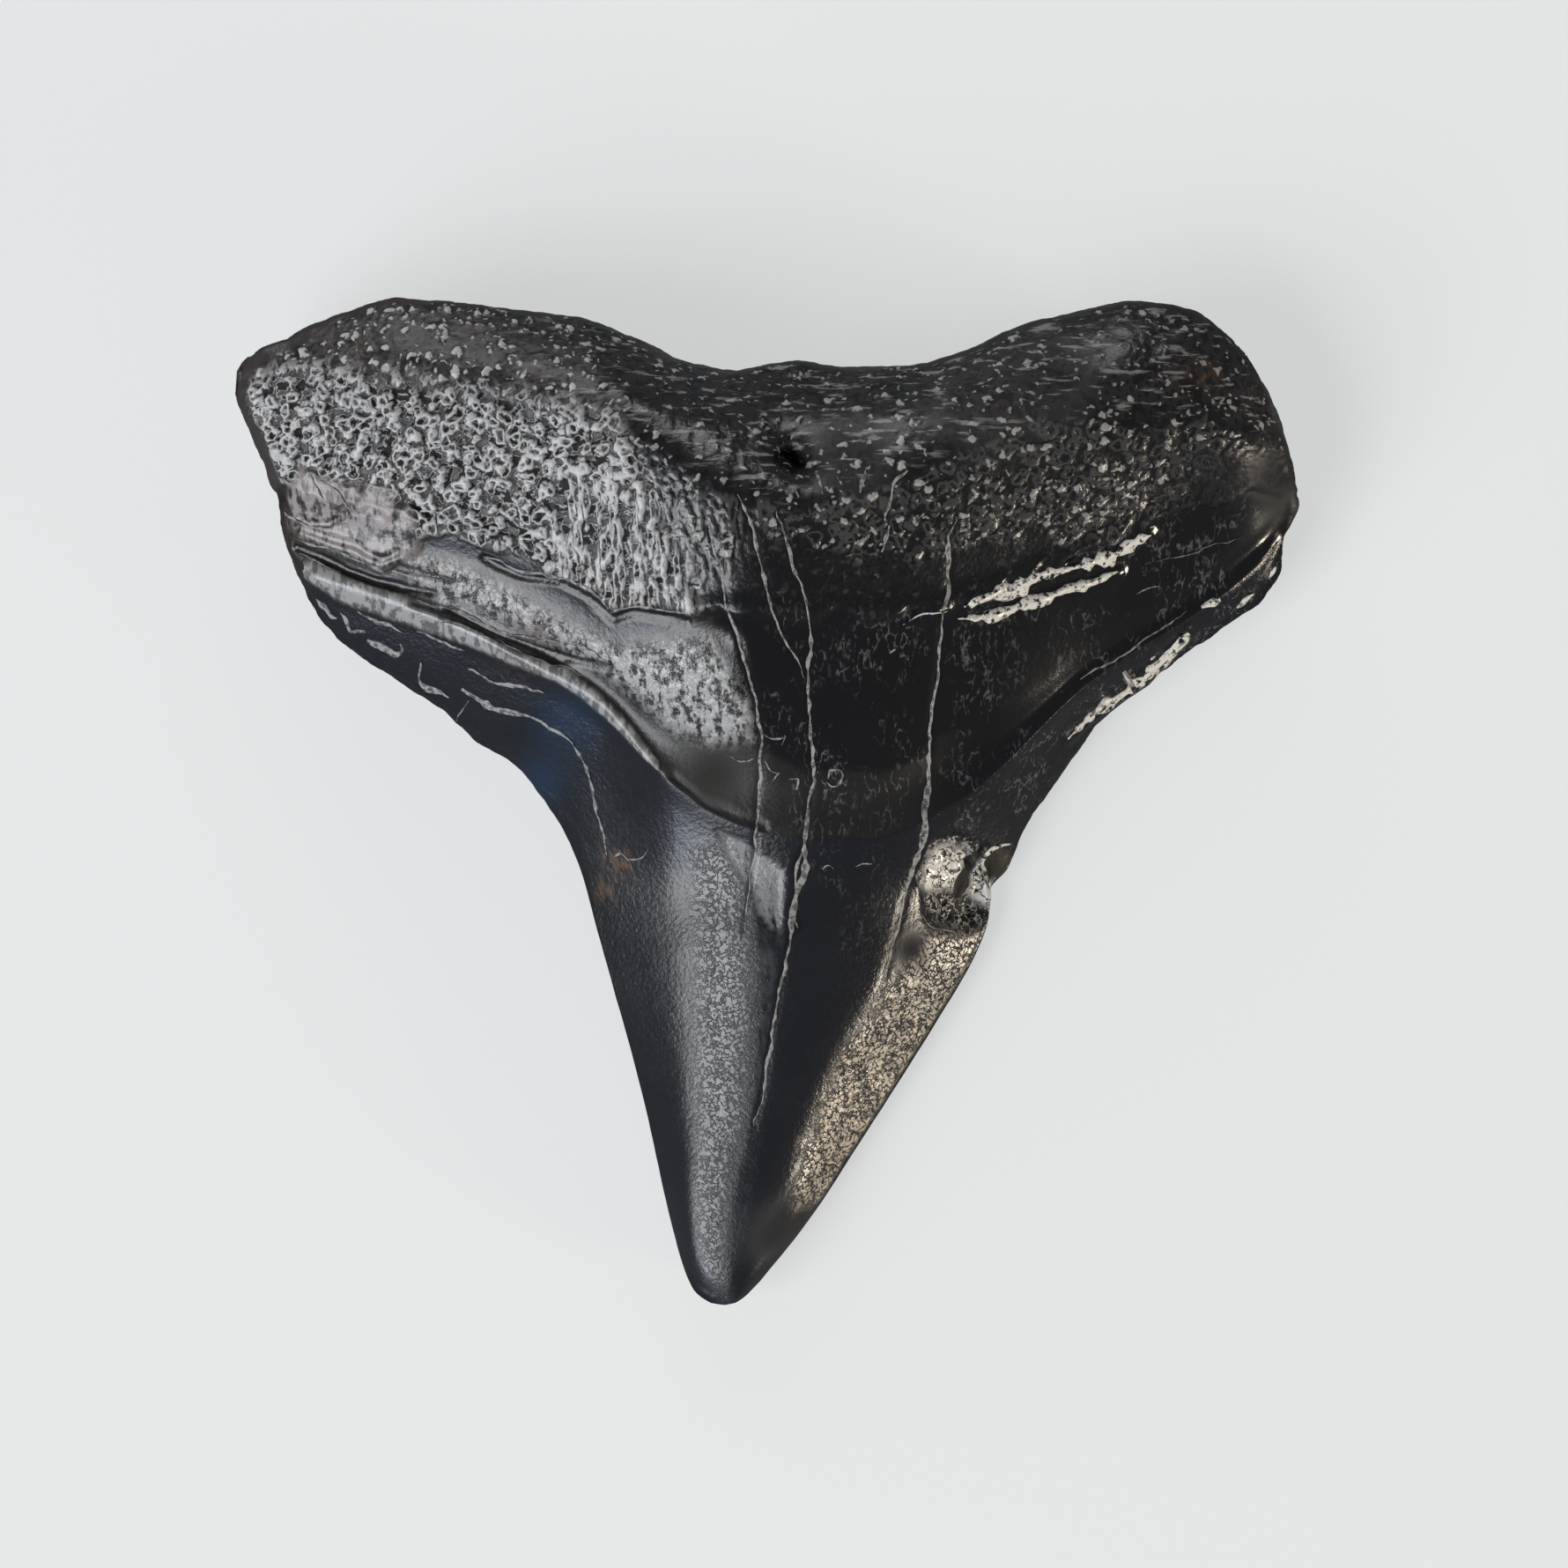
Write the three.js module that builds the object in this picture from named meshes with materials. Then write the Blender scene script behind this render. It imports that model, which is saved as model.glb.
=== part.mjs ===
// Fossil shark tooth, lying on its flat labial face with the lingual face up.
// It grew as one piece, so the whole tooth is one solid: a blade-like crown, the smooth band
// at its foot, and the thick two-lobed root with its central foramen.
//
// Frame, in millimetres: +X to the right across the crown, +Y from its tip to the root, +Z up.
// The origin is the centre of the tooth's box, on the surface that it rests on.
import * as THREE from "three";

// ---- Driving dimensions ------------------------------------------------------------------
const ROOT_THICKNESS = 5.4; // resting face to the highest point of the root's keel
const CROWN_THICKNESS = 3.1; // resting face to the crown's ridge, where the crown meets the band
const TIP = [-0.92, -10.44];
const CENTRE_X = 0.5; // the line that the two halves of the crown and root meet on
const KEEL_X = -0.35; // the root's keel leans to the left of it where the porous root starts

// ---- Outline, seen from above ------------------------------------------------------------
// The two side edges give x at each y. Both start at the tip and end at a corner of the root.
const LEFT_EDGE = [
  [TIP[1], TIP[0]],
  [-10.39, -1.22],
  [-10.08, -1.6],
  [-9.0, -1.97],
  [-6.0, -2.66],
  [-2.8, -3.54],
  [-1.3, -3.96],
  [-0.3, -4.42],
  [0.8, -5.28],
  [1.3, -6.02],
  [2.0, -6.85],
  [2.9, -8.2],
  [3.4, -8.9],
  [4.0, -9.44],
  [4.9, -9.86],
  [5.6, -10.1],
  [6.4, -10.22],
  [7.3, -10.46],
  [8.1, -10.8],
  [8.6, -10.98],
];
const RIGHT_EDGE = [
  [TIP[1], TIP[0]],
  [-10.39, -0.68],
  [-10.08, -0.3],
  [-9.7, 0.03],
  [-8.6, 0.9],
  [-7.0, 1.95],
  [-4.6, 3.47],
  [-3.1, 4.34],
  [-2.4, 4.6],
  [-1.72, 4.68],
  [-1.3, 5.02],
  [-0.6, 5.3],
  [0.2, 5.82],
  [1.0, 6.4],
  [1.5, 6.72],
  [2.0, 7.2],
  [2.5, 7.86],
  [3.2, 8.75],
  [3.7, 9.5],
  [4.3, 10.28],
  [4.9, 10.68],
  [5.6, 10.76],
  [6.3, 11.02],
  [6.9, 10.82],
  [7.8, 10.6],
  [8.5, 10.3],
  [8.9, 10.08],
];
// The root's basal edge gives y at each x, from corner to corner over the two lobes.
const BASAL_EDGE = [
  [-10.98, 8.6],
  [-10.93, 9.0],
  [-10.6, 9.33],
  [-9.95, 9.6],
  [-9.55, 9.84],
  [-8.6, 10.18],
  [-7.8, 10.42],
  [-6.8, 10.38],
  [-5.3, 10.2],
  [-4.0, 10.04],
  [-2.8, 9.6],
  [-1.5, 9.06],
  [-0.7, 8.94],
  [0.1, 9.08],
  [0.6, 9.14],
  [1.4, 9.0],
  [2.8, 9.04],
  [3.9, 9.28],
  [5.3, 9.86],
  [6.6, 10.2],
  [7.4, 10.37],
  [8.7, 10.2],
  [9.4, 9.74],
  [9.9, 9.2],
  [10.08, 8.9],
];

// ---- Growth lines across the tooth: y at each x --------------------------------------------
const ENAMEL_FOOT = [
  [-9.86, 4.9],
  [-7.1, 4.0],
  [-4.9, 2.95],
  [-3.5, 2.15],
  [-1.9, 0.4],
  [-0.5, -0.4],
  [CENTRE_X, -0.65],
  [2.0, -0.72],
  [4.0, 0.15],
  [6.6, 2.5],
  [9.6, 4.5],
  [10.76, 5.6],
];
const ROOT_NECK = [
  [-10.24, 6.5],
  [-7.7, 5.75],
  [-5.6, 5.2],
  [-4.2, 4.5],
  [-3.0, 4.0],
  [CENTRE_X, 3.8],
  [2.6, 3.75],
  [4.2, 4.15],
  [5.7, 4.75],
  [7.9, 5.7],
  [10.94, 6.6],
];
const ROOT_CREST = [
  [-10.72, 7.9],
  [-8.0, 8.45],
  [-5.0, 8.25],
  [-3.1, 7.75],
  [-1.3, 6.6],
  [CENTRE_X, 6.1],
  [3.0, 6.9],
  [6.0, 7.9],
  [8.5, 7.9],
  [10.72, 7.3],
];

// ---- Heights above the resting plane --------------------------------------------------------
// The rim is where the lingual and labial faces meet: a cutting edge below, a rounded wall above.
const RIM_HEIGHT = [
  [-10.44, 0.85],
  [-9.6, 0.6],
  [-7.0, 0.48],
  [0.0, 0.5],
  [3.0, 0.75],
  [5.0, 1.2],
  [7.0, 1.9],
  [10.4, 2.3],
];
const CROWN_RIDGE_HEIGHT = [
  [-10.44, 0.85],
  [-10.2, 1.14],
  [-9.4, 1.42],
  [-7.0, 1.86],
  [-4.0, 2.38],
  [-1.0, 0.93 * CROWN_THICKNESS],
  [1.5, CROWN_THICKNESS],
  [5.0, 1.03 * CROWN_THICKNESS],
];
const CROWN_RIDGE_X = [
  [-10.44, TIP[0]],
  [-8.3, -0.45],
  [-6.0, 0.0],
  [-4.0, 0.3],
  [-1.5, CENTRE_X],
];
const FOOT_HEIGHT = [
  [-9.86, 1.55],
  [-7.1, 2.25],
  [-4.9, 2.75],
  [-3.5, 2.95],
  [-1.9, CROWN_THICKNESS],
  [CENTRE_X, CROWN_THICKNESS],
  [2.0, 2.95],
  [4.0, 2.7],
  [6.6, 2.15],
  [9.6, 1.6],
  [10.76, 1.35],
];
const NECK_HEIGHT = [
  [-10.24, 2.0],
  [-7.5, 2.75],
  [-4.0, 3.72],
  [-1.2, 4.75],
  [KEEL_X, 0.905 * ROOT_THICKNESS],
  [1.6, 4.6],
  [4.5, 3.75],
  [8.0, 2.8],
  [10.94, 2.05],
];
const CREST_HEIGHT = [
  [-10.72, 2.7],
  [-8.0, 3.5],
  [-5.0, 4.2],
  [-2.4, 0.94 * ROOT_THICKNESS],
  [-0.6, ROOT_THICKNESS],
  [2.6, 0.91 * ROOT_THICKNESS],
  [6.0, 4.3],
  [8.5, 3.6],
  [10.72, 2.7],
];
const BASAL_HEIGHT = [
  [-10.98, 2.3],
  [-7.0, 3.3],
  [-2.0, 3.6],
  [CENTRE_X, 3.5],
  [3.0, 3.6],
  [7.0, 3.3],
  [10.1, 2.4],
];

// How far in from the outline each face is rounded, at each y.
const LINGUAL_ROUNDING = [
  [2.0, 0.05],
  [5.0, 0.5],
  [7.0, 1.2],
  [10.4, 1.7],
];
const LABIAL_ROUNDING = [
  [-10.44, 1.1],
  [-8.0, 0.8],
  [3.0, 0.9],
  [6.0, 1.4],
  [9.0, 2.4],
  [10.4, 2.6],
];

// ---- Facets of the blade ------------------------------------------------------------------------
// A flat strip lies on the left of a gently arched middle, and a steep flank on the right of it.
// The strip's two sides give x at each y.
const STRIP_LEFT = [
  [-10.44, -1.15],
  [-9.6, -1.62],
  [-8.0, -1.75],
  [-2.0, -1.78],
  [0.0, -1.95],
];
const STRIP_RIGHT = [
  [-10.44, -0.92],
  [-9.6, -0.98],
  [-8.1, -0.86],
  [-6.3, -0.5],
  [-3.5, -0.37],
  [-0.2, -0.6],
];
const STRIP_SLOPE = 0.36;
const LEAST_LEFT_FLANK = 0.22; // width of the face between the left edge and the strip
const FLANK_SLOPE = [
  [-10.44, 2.4],
  [-9.4, 2.3],
  [-8.6, 1.9],
  [-8.0, 1.25],
  [-7.2, 0.98],
  [-5.5, 0.86],
  [0.0, 0.86],
];
const MIDDLE_POWER = 1.64; // 2 is a parabola across the middle, 1 a roof
const MIDDLE_FALL = [
  [-10.44, 0.5],
  [-9.4, 0.3],
  [-8.0, 0.3],
  [-6.0, 0.2],
  [-4.5, 0.17],
  [0.0, 0.2],
];
// How tightly one facet turns into the next, per millimetre.
const LEFT_SHARPNESS = 5;
const FACET_SHARPNESS = 14;
// The shoulders fall from the enamel's foot to the edge, and the blade goes over into them.
const SHOULDER_POWER = 0.9;
const SHOULDER = { fromY: -3.2, fullAtY: -0.75 };
const FOOT_SLANT = 0.75; // from a point's drop below the foot to its distance from the foot

// ---- Relief -----------------------------------------------------------------------------------
const ENAMEL_LEDGE = { height: 0.14, reach: 0.28, lostInMiddle: 0.7 }; // the enamel's raised foot
const MIDDLE = { from: -4.0, full: -1.0, fullTo: 3.0, to: 6.0 }; // x where the middle of it lies
const BAND_HOLLOW = { depth: 0.26, atMiddle: 1.0, atSides: 0.35, sideShare: 0.3, reach: 0.8 };
const NECK_LEDGE = { height: 0.12, reach: 0.3, aboveNeck: 0.15 }; // where the porous root starts
const ROOT_LUMPS = { height: 0.15, spacing: 0.8, fullFromNeck: 0.6 };
const FORAMEN = { at: [0.53, 7.0], radius: 0.42, depth: 0.95 };
const NUTRIENT_GROOVE = { halfWidth: 1.1, depth: 0.35, fromY: 6.2, fullAtY: 7.4 };
const EDGE_CHIP = { at: [3.98, -1.7], halfWidth: 0.84, halfHeight: 1.0, depth: 0.4, wall: 0.4 };
const CHIP_SQUARENESS = 3; // 2 is an ellipse, more than that squarer
const LABIAL_FURROW = { depth: 0.22, reach: 0.45, edge: 0.3, fullFromRim: 0.8 };
const RELIEF_FULL_FROM_RIM = 0.35; // the relief fades out towards the outline
const LOWEST_OVER_RIM = 0.6; // share of the rim's height that no pit on the lingual face goes below

// ---- Mesh ---------------------------------------------------------------------------------------
// All counts are even, because the labial face uses every second row and column.
const COLUMNS = 80;
const CROWN_ROWS = 22;
const CROWN_ROW_CROWDING = 1.2; // above 1 the crown's rows lie closer towards the enamel foot
const COLUMN_CROWDING = 0.35; // 0 spreads the columns evenly
const BAND_ROWS = 8;
const ROOT_ROWS = 10;
const BASAL_ROWS = 8;
// A column starts on the crown's edge and climbs to the enamel foot, and on over the root.
// For each column's share of the way across, these give the level where it starts, close together
// round the tip, and its x on the enamel foot.
const START_LEVEL = [
  [0.0, 3.3],
  [0.24, 0.5],
  [0.36, -4.6],
  [0.43, -8.3],
  [0.455, -9.6],
  [0.47, -10.1],
  [0.485, -10.36],
  [0.5, TIP[1]],
  [0.515, -10.36],
  [0.53, -10.1],
  [0.545, -9.6],
  [0.57, -8.3],
  [0.62, -4.9],
  [0.67, -2.9],
  [0.73, -1.0],
  [0.79, 0.7],
  [1.0, 3.9],
];
const FOOT_X = [
  [0.0, -9.86],
  [0.24, -4.2],
  [0.36, -1.9],
  [0.5, 0.3],
  [0.62, 2.2],
  [0.67, 3.1],
  [0.73, 4.3],
  [0.79, 5.6],
  [1.0, 10.76],
];

const clamp = (value, low, high) => Math.min(high, Math.max(low, value));
const mix = (a, b, share) => a + (b - a) * share;
const ramp = (value, from, full) => clamp((value - from) / (full - from), 0, 1);
const bell = (distance, reach) => Math.exp(-((distance / reach) ** 2));

function smoothRamp(value, from, full) {
  const t = ramp(value, from, full);
  return t * t * (3 - 2 * t);
}

// The least of several heights, rounded over where they meet.
function softLeast(heights, sharpness) {
  const least = Math.min(...heights);
  const shares = heights.map((height) => Math.exp(sharpness * (least - height)));
  return least - Math.log(shares.reduce((sum, share) => sum + share)) / sharpness;
}

// A smooth curve through [input, output] points that never overshoots them.
function curveThrough(points) {
  const last = points.length - 1;
  const span = (i) => points[i + 1][0] - points[i][0];
  const rise = (i) => (points[i + 1][1] - points[i][1]) / span(i);
  const slopes = points.map((_, i) => {
    const before = rise(Math.max(0, i - 1));
    const after = rise(Math.min(last - 1, i));
    return before * after <= 0 ? 0 : (2 * before * after) / (before + after);
  });
  return (input) => {
    let i = 0;
    while (i < last - 1 && input > points[i + 1][0]) i += 1;
    const t = clamp((input - points[i][0]) / span(i), 0, 1);
    const blend = t * t * (3 - 2 * t);
    return (
      mix(points[i][1], points[i + 1][1], blend) +
      span(i) * t * (1 - t) * (slopes[i] * (1 - t) - slopes[i + 1] * t)
    );
  };
}

const leftEdge = curveThrough(LEFT_EDGE);
const rightEdge = curveThrough(RIGHT_EDGE);
const basalEdge = curveThrough(BASAL_EDGE);
const enamelFoot = curveThrough(ENAMEL_FOOT);
const rootNeck = curveThrough(ROOT_NECK);
const rootCrest = curveThrough(ROOT_CREST);
const rimHeight = curveThrough(RIM_HEIGHT);
const crownRidgeHeight = curveThrough(CROWN_RIDGE_HEIGHT);
const crownRidgeX = curveThrough(CROWN_RIDGE_X);
const footHeight = curveThrough(FOOT_HEIGHT);
const neckHeight = curveThrough(NECK_HEIGHT);
const crestHeight = curveThrough(CREST_HEIGHT);
const basalHeight = curveThrough(BASAL_HEIGHT);
const lingualRounding = curveThrough(LINGUAL_ROUNDING);
const labialRounding = curveThrough(LABIAL_ROUNDING);
const stripLeft = curveThrough(STRIP_LEFT);
const stripRight = curveThrough(STRIP_RIGHT);
const flankSlope = curveThrough(FLANK_SLOPE);
const middleFall = curveThrough(MIDDLE_FALL);
const startLevel = curveThrough(START_LEVEL);
const footX = curveThrough(FOOT_X);

// ---- Rows of the mesh ---------------------------------------------------------------------------
// Every row is a function from a column's share of the way across, 0 to 1, to a point [x, y].
const evenly = (count) => Array.from({ length: count }, (_, i) => (i + 1) / count);
const edgeOn = (share) => (share < 0.5 ? leftEdge : rightEdge);

// Rows of the crown climb from its edge to the enamel foot.
const crownRow = (climb) => (share) => {
  const level = startLevel(share);
  const start = [edgeOn(share)(level), level];
  const foot = [footX(share), enamelFoot(footX(share))];
  const y = mix(start[1], foot[1], climb);
  const onSide = share === 0 || share === 1;
  return [onSide ? edgeOn(share)(y) : mix(start[0], foot[0], climb), y];
};

// Rows of the root lie between two growth lines, each with its own ends on the outline.
const growthLine = (points, y) => ({ y, left: points[0], right: points.at(-1) });
const FOOT = growthLine(ENAMEL_FOOT, enamelFoot);
const NECK = growthLine(ROOT_NECK, rootNeck);
const CREST = growthLine(ROOT_CREST, rootCrest);
const BASE = growthLine(BASAL_EDGE, basalEdge);

const rootRow = (lower, upper, climb) => (share) => {
  const across = (footX(share) - FOOT.left[0]) / (FOOT.right[0] - FOOT.left[0]);
  const xOn = (line) => mix(line.left[0], line.right[0], across);
  const y = mix(lower.y(xOn(lower)), upper.y(xOn(upper)), climb);
  const onSide = share === 0 || share === 1;
  return [onSide ? edgeOn(share)(y) : mix(xOn(lower), xOn(upper), climb), y];
};

function allRows() {
  const between = (lower, upper, climbs) => climbs.map((climb) => rootRow(lower, upper, climb));
  const towardsEdge = evenly(BASAL_ROWS).map((climb) => Math.sin((Math.PI / 2) * climb));
  return [
    crownRow(0),
    ...evenly(CROWN_ROWS).map((climb) => crownRow(1 - (1 - climb) ** CROWN_ROW_CROWDING)),
    ...between(FOOT, NECK, evenly(BAND_ROWS)),
    ...between(NECK, CREST, evenly(ROOT_ROWS)),
    ...between(CREST, BASE, towardsEdge),
  ];
}

// Columns crowd a little towards the two ends of the root.
function columnShare(column) {
  const even = (2 * column) / COLUMNS - 1;
  return 0.5 + 0.5 * mix(even, Math.sin((Math.PI / 2) * even), COLUMN_CROWDING);
}

// ---- Faces --------------------------------------------------------------------------------------
// The outline as a closed ring of points, for distances from it.
const RING_STEPS = 90; // along each of the three edges
function outlineRing() {
  const steps = Array.from({ length: RING_STEPS }, (_, i) => i / RING_STEPS);
  const up = (share) => mix(TIP[1], RIGHT_EDGE.at(-1)[0], share);
  const back = (share) => mix(BASAL_EDGE.at(-1)[0], BASAL_EDGE[0][0], share);
  const down = (share) => mix(LEFT_EDGE.at(-1)[0], TIP[1], share);
  return [
    ...steps.map(up).map((y) => new THREE.Vector3(rightEdge(y), y, 0)),
    ...steps.map(back).map((x) => new THREE.Vector3(x, basalEdge(x), 0)),
    ...steps.map(down).map((y) => new THREE.Vector3(leftEdge(y), y, 0)),
  ];
}
const OUTLINE = outlineRing();

function distanceInside(x, y) {
  const point = new THREE.Vector3(x, y, 0);
  const nearest = new THREE.Vector3();
  const distances = OUTLINE.map((corner, i) => {
    const segment = new THREE.Line3(corner, OUTLINE[(i + 1) % OUTLINE.length]);
    return segment.closestPointToPoint(point, true, nearest).distanceTo(point);
  });
  return Math.min(...distances);
}

// A quarter circle: 0 on the outline, 1 from the rounding's depth inwards.
function rounded(inside, depth) {
  const share = clamp(inside / depth, 0, 1);
  return Math.sqrt(1 - (1 - share) ** 2);
}

function bladeHeight(x, y) {
  const rim = rimHeight(y);
  const ridge = crownRidgeHeight(y);
  const left = leftEdge(y);
  const strip = (atX) => ridge - STRIP_SLOPE * (stripRight(y) - atX);
  const stripX = Math.max(stripLeft(y), left + LEAST_LEFT_FLANK);
  const leftSlope = Math.max(strip(stripX) - rim, 0) / (stripX - left);
  const leftSide = softLeast([rim + leftSlope * (x - left), strip(x)], LEFT_SHARPNESS);
  const middle = ridge - middleFall(y) * Math.max(x - crownRidgeX(y), 0) ** MIDDLE_POWER;
  const flank = rim + flankSlope(y) * (rightEdge(y) - x);
  return softLeast([leftSide, middle, flank], FACET_SHARPNESS);
}

function crownHeight(x, y, inside) {
  const belowFoot = FOOT_SLANT * Math.max(enamelFoot(x) - y, 0);
  const climb = inside > 0 ? inside / (inside + belowFoot) : 0;
  const shoulder = mix(rimHeight(y), footHeight(x), climb ** SHOULDER_POWER);
  return mix(bladeHeight(x, y), shoulder, smoothRamp(y, SHOULDER.fromY, SHOULDER.fullAtY));
}

const PAST_BASAL_EDGE = 0.01;
function rootHeight(x, y) {
  return curveThrough([
    [enamelFoot(x), footHeight(x)],
    [rootNeck(x), neckHeight(x)],
    [rootCrest(x), crestHeight(x)],
    [basalEdge(x) + PAST_BASAL_EDGE, basalHeight(x)],
  ])(y);
}

// Uneven lumps between -1 and 1: random values on a lattice, blended smoothly in between.
const LATTICE_ORIGIN = 50;
const scatter = (column, row) => Math.sin(12.9898 * column + 78.233 * row) * 43758.5453;

function lumps(x, y) {
  const u = x / ROOT_LUMPS.spacing + LATTICE_ORIGIN;
  const v = y / ROOT_LUMPS.spacing + LATTICE_ORIGIN;
  const [column, row] = [Math.floor(u), Math.floor(v)];
  const value = (i, j) => {
    const random = scatter(column + i, row + j);
    return 2 * (random - Math.floor(random)) - 1;
  };
  const [across, up] = [smoothRamp(u - column, 0, 1), smoothRamp(v - row, 0, 1)];
  return mix(
    mix(value(0, 0), value(1, 0), across),
    mix(value(0, 1), value(1, 1), across),
    up,
  );
}

// The band is hollow above the enamel's foot, most of all in the middle, where the ledge is low.
function footRelief(x, y) {
  const aboveFoot = y - enamelFoot(x);
  const middle =
    smoothRamp(x, MIDDLE.from, MIDDLE.full) * (1 - smoothRamp(x, MIDDLE.fullTo, MIDDLE.to));
  const ledge =
    ENAMEL_LEDGE.height *
    bell(aboveFoot, ENAMEL_LEDGE.reach) *
    (1 - ENAMEL_LEDGE.lostInMiddle * middle);
  const deepest = mix(BAND_HOLLOW.atSides, BAND_HOLLOW.atMiddle, middle);
  const hollow =
    BAND_HOLLOW.depth *
    bell(aboveFoot / deepest - 1, BAND_HOLLOW.reach) *
    mix(BAND_HOLLOW.sideShare, 1, middle);
  return ledge - hollow;
}

function chipDepth(x, y) {
  const across = Math.abs(x - EDGE_CHIP.at[0]) / EDGE_CHIP.halfWidth;
  const along = Math.abs(y - EDGE_CHIP.at[1]) / EDGE_CHIP.halfHeight;
  const outwards = (across ** CHIP_SQUARENESS + along ** CHIP_SQUARENESS) ** (1 / CHIP_SQUARENESS);
  return EDGE_CHIP.depth * ramp(1 - outwards, 0, EDGE_CHIP.wall);
}

function relief(x, y) {
  const aboveNeck = y - rootNeck(x);
  const step = NECK_LEDGE.height * bell(aboveNeck - NECK_LEDGE.aboveNeck, NECK_LEDGE.reach);
  const porous = ramp(aboveNeck, 0, ROOT_LUMPS.fullFromNeck);
  const uneven = ROOT_LUMPS.height * porous * lumps(x, y);
  const groove =
    NUTRIENT_GROOVE.depth *
    ramp(y, NUTRIENT_GROOVE.fromY, NUTRIENT_GROOVE.fullAtY) *
    bell(x - CENTRE_X, NUTRIENT_GROOVE.halfWidth);
  const fromForamen = Math.hypot(x - FORAMEN.at[0], y - FORAMEN.at[1]);
  const foramen = FORAMEN.depth * bell(fromForamen, FORAMEN.radius);
  return footRelief(x, y) + step + uneven - groove - foramen - chipDepth(x, y);
}

function lingualZ(x, y, inside) {
  const rim = rimHeight(y);
  const body = y > enamelFoot(x) ? rootHeight(x, y) : crownHeight(x, y, inside);
  const top = rim + (body - rim) * rounded(inside, lingualRounding(y));
  const raised = top + relief(x, y) * ramp(inside, 0, RELIEF_FULL_FROM_RIM);
  return Math.max(raised, rim * LOWEST_OVER_RIM);
}

function labialZ(x, y, inside) {
  const wall = rimHeight(y) * (1 - rounded(inside, labialRounding(y)));
  const hollow = bell(y - rootNeck(x), LABIAL_FURROW.reach);
  const furrow = hollow > LABIAL_FURROW.edge ? LABIAL_FURROW.depth * hollow : 0;
  return Math.max(wall, furrow * ramp(inside, 0, LABIAL_FURROW.fullFromRim));
}

// ---- Assembly into one closed mesh ------------------------------------------------------------
function toothGeometry() {
  const positions = [];
  const triangles = [];
  const rows = allRows();
  const lastRow = rows.length - 1;
  const addPoint = (x, y, z) => positions.push(x, y, z) / 3 - 1;

  // The two faces share the points of the rim, which is the border of the grid.
  const rim = new Set();
  const lingual = [];
  const labial = [];
  rows.forEach((pointAt, row) => {
    lingual.push([]);
    labial.push([]);
    for (let column = 0; column <= COLUMNS; column += 1) {
      const [x, y] = pointAt(columnShare(column));
      if (row === 0 || row === lastRow || column === 0 || column === COLUMNS) {
        const shared = addPoint(x, y, rimHeight(y));
        rim.add(shared);
        lingual[row].push(shared);
        labial[row].push(shared);
        continue;
      }
      const inside = distanceInside(x, y);
      lingual[row].push(addPoint(x, y, lingualZ(x, y, inside)));
      const used = row % 2 === 0 && column % 2 === 0;
      labial[row].push(used ? addPoint(x, y, labialZ(x, y, inside)) : -1);
    }
  });

  // The lingual face, facing up, has two triangles for each cell.
  for (let row = 0; row < lastRow; row += 1) {
    for (let column = 0; column < COLUMNS; column += 1) {
      const [a, b] = [lingual[row][column], lingual[row][column + 1]];
      const [c, d] = [lingual[row + 1][column + 1], lingual[row + 1][column]];
      triangles.push(a, b, c, a, c, d);
    }
  }

  // The labial face, facing down, has cells of two rows by two columns. A cell's ring of corners
  // also takes in the rim points between them, and is filled as a fan from a corner off the rim.
  for (let row = 0; row < lastRow; row += 2) {
    for (let column = 0; column < COLUMNS; column += 2) {
      const at = (up, across) => labial[row + up][column + across];
      const ring = [
        at(0, 0),
        ...(row === 0 ? [at(0, 1)] : []),
        at(0, 2),
        ...(column === COLUMNS - 2 ? [at(1, 2)] : []),
        at(2, 2),
        ...(row === lastRow - 2 ? [at(2, 1)] : []),
        at(2, 0),
        ...(column === 0 ? [at(1, 0)] : []),
      ];
      const first = ring.findIndex((point) => !rim.has(point));
      const turned = [...ring.slice(first), ...ring.slice(0, first)];
      for (let i = 1; i < turned.length - 1; i += 1) {
        triangles.push(turned[0], turned[i + 1], turned[i]);
      }
    }
  }

  const geometry = new THREE.BufferGeometry();
  geometry.setAttribute("position", new THREE.Float32BufferAttribute(positions, 3));
  geometry.setIndex(triangles);
  geometry.computeBoundingBox();
  const { min, max } = geometry.boundingBox;
  geometry.translate(-(min.x + max.x) / 2, -(min.y + max.y) / 2, -min.z);
  geometry.computeVertexNormals();
  return geometry;
}

const enamelAndRoot = new THREE.MeshStandardMaterial({
  color: 0x1c1b1f,
  roughness: 0.4,
  metalness: 0,
});
const tooth = new THREE.Mesh(toothGeometry(), enamelAndRoot);
tooth.name = "tooth";

const group = new THREE.Group();
group.add(tooth);
export default group;
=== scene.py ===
import math

import bpy
import numpy as np
from bpy.props import FloatProperty, FloatVectorProperty, PointerProperty
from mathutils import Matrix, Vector
from mathutils.bvhtree import BVHTree


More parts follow.
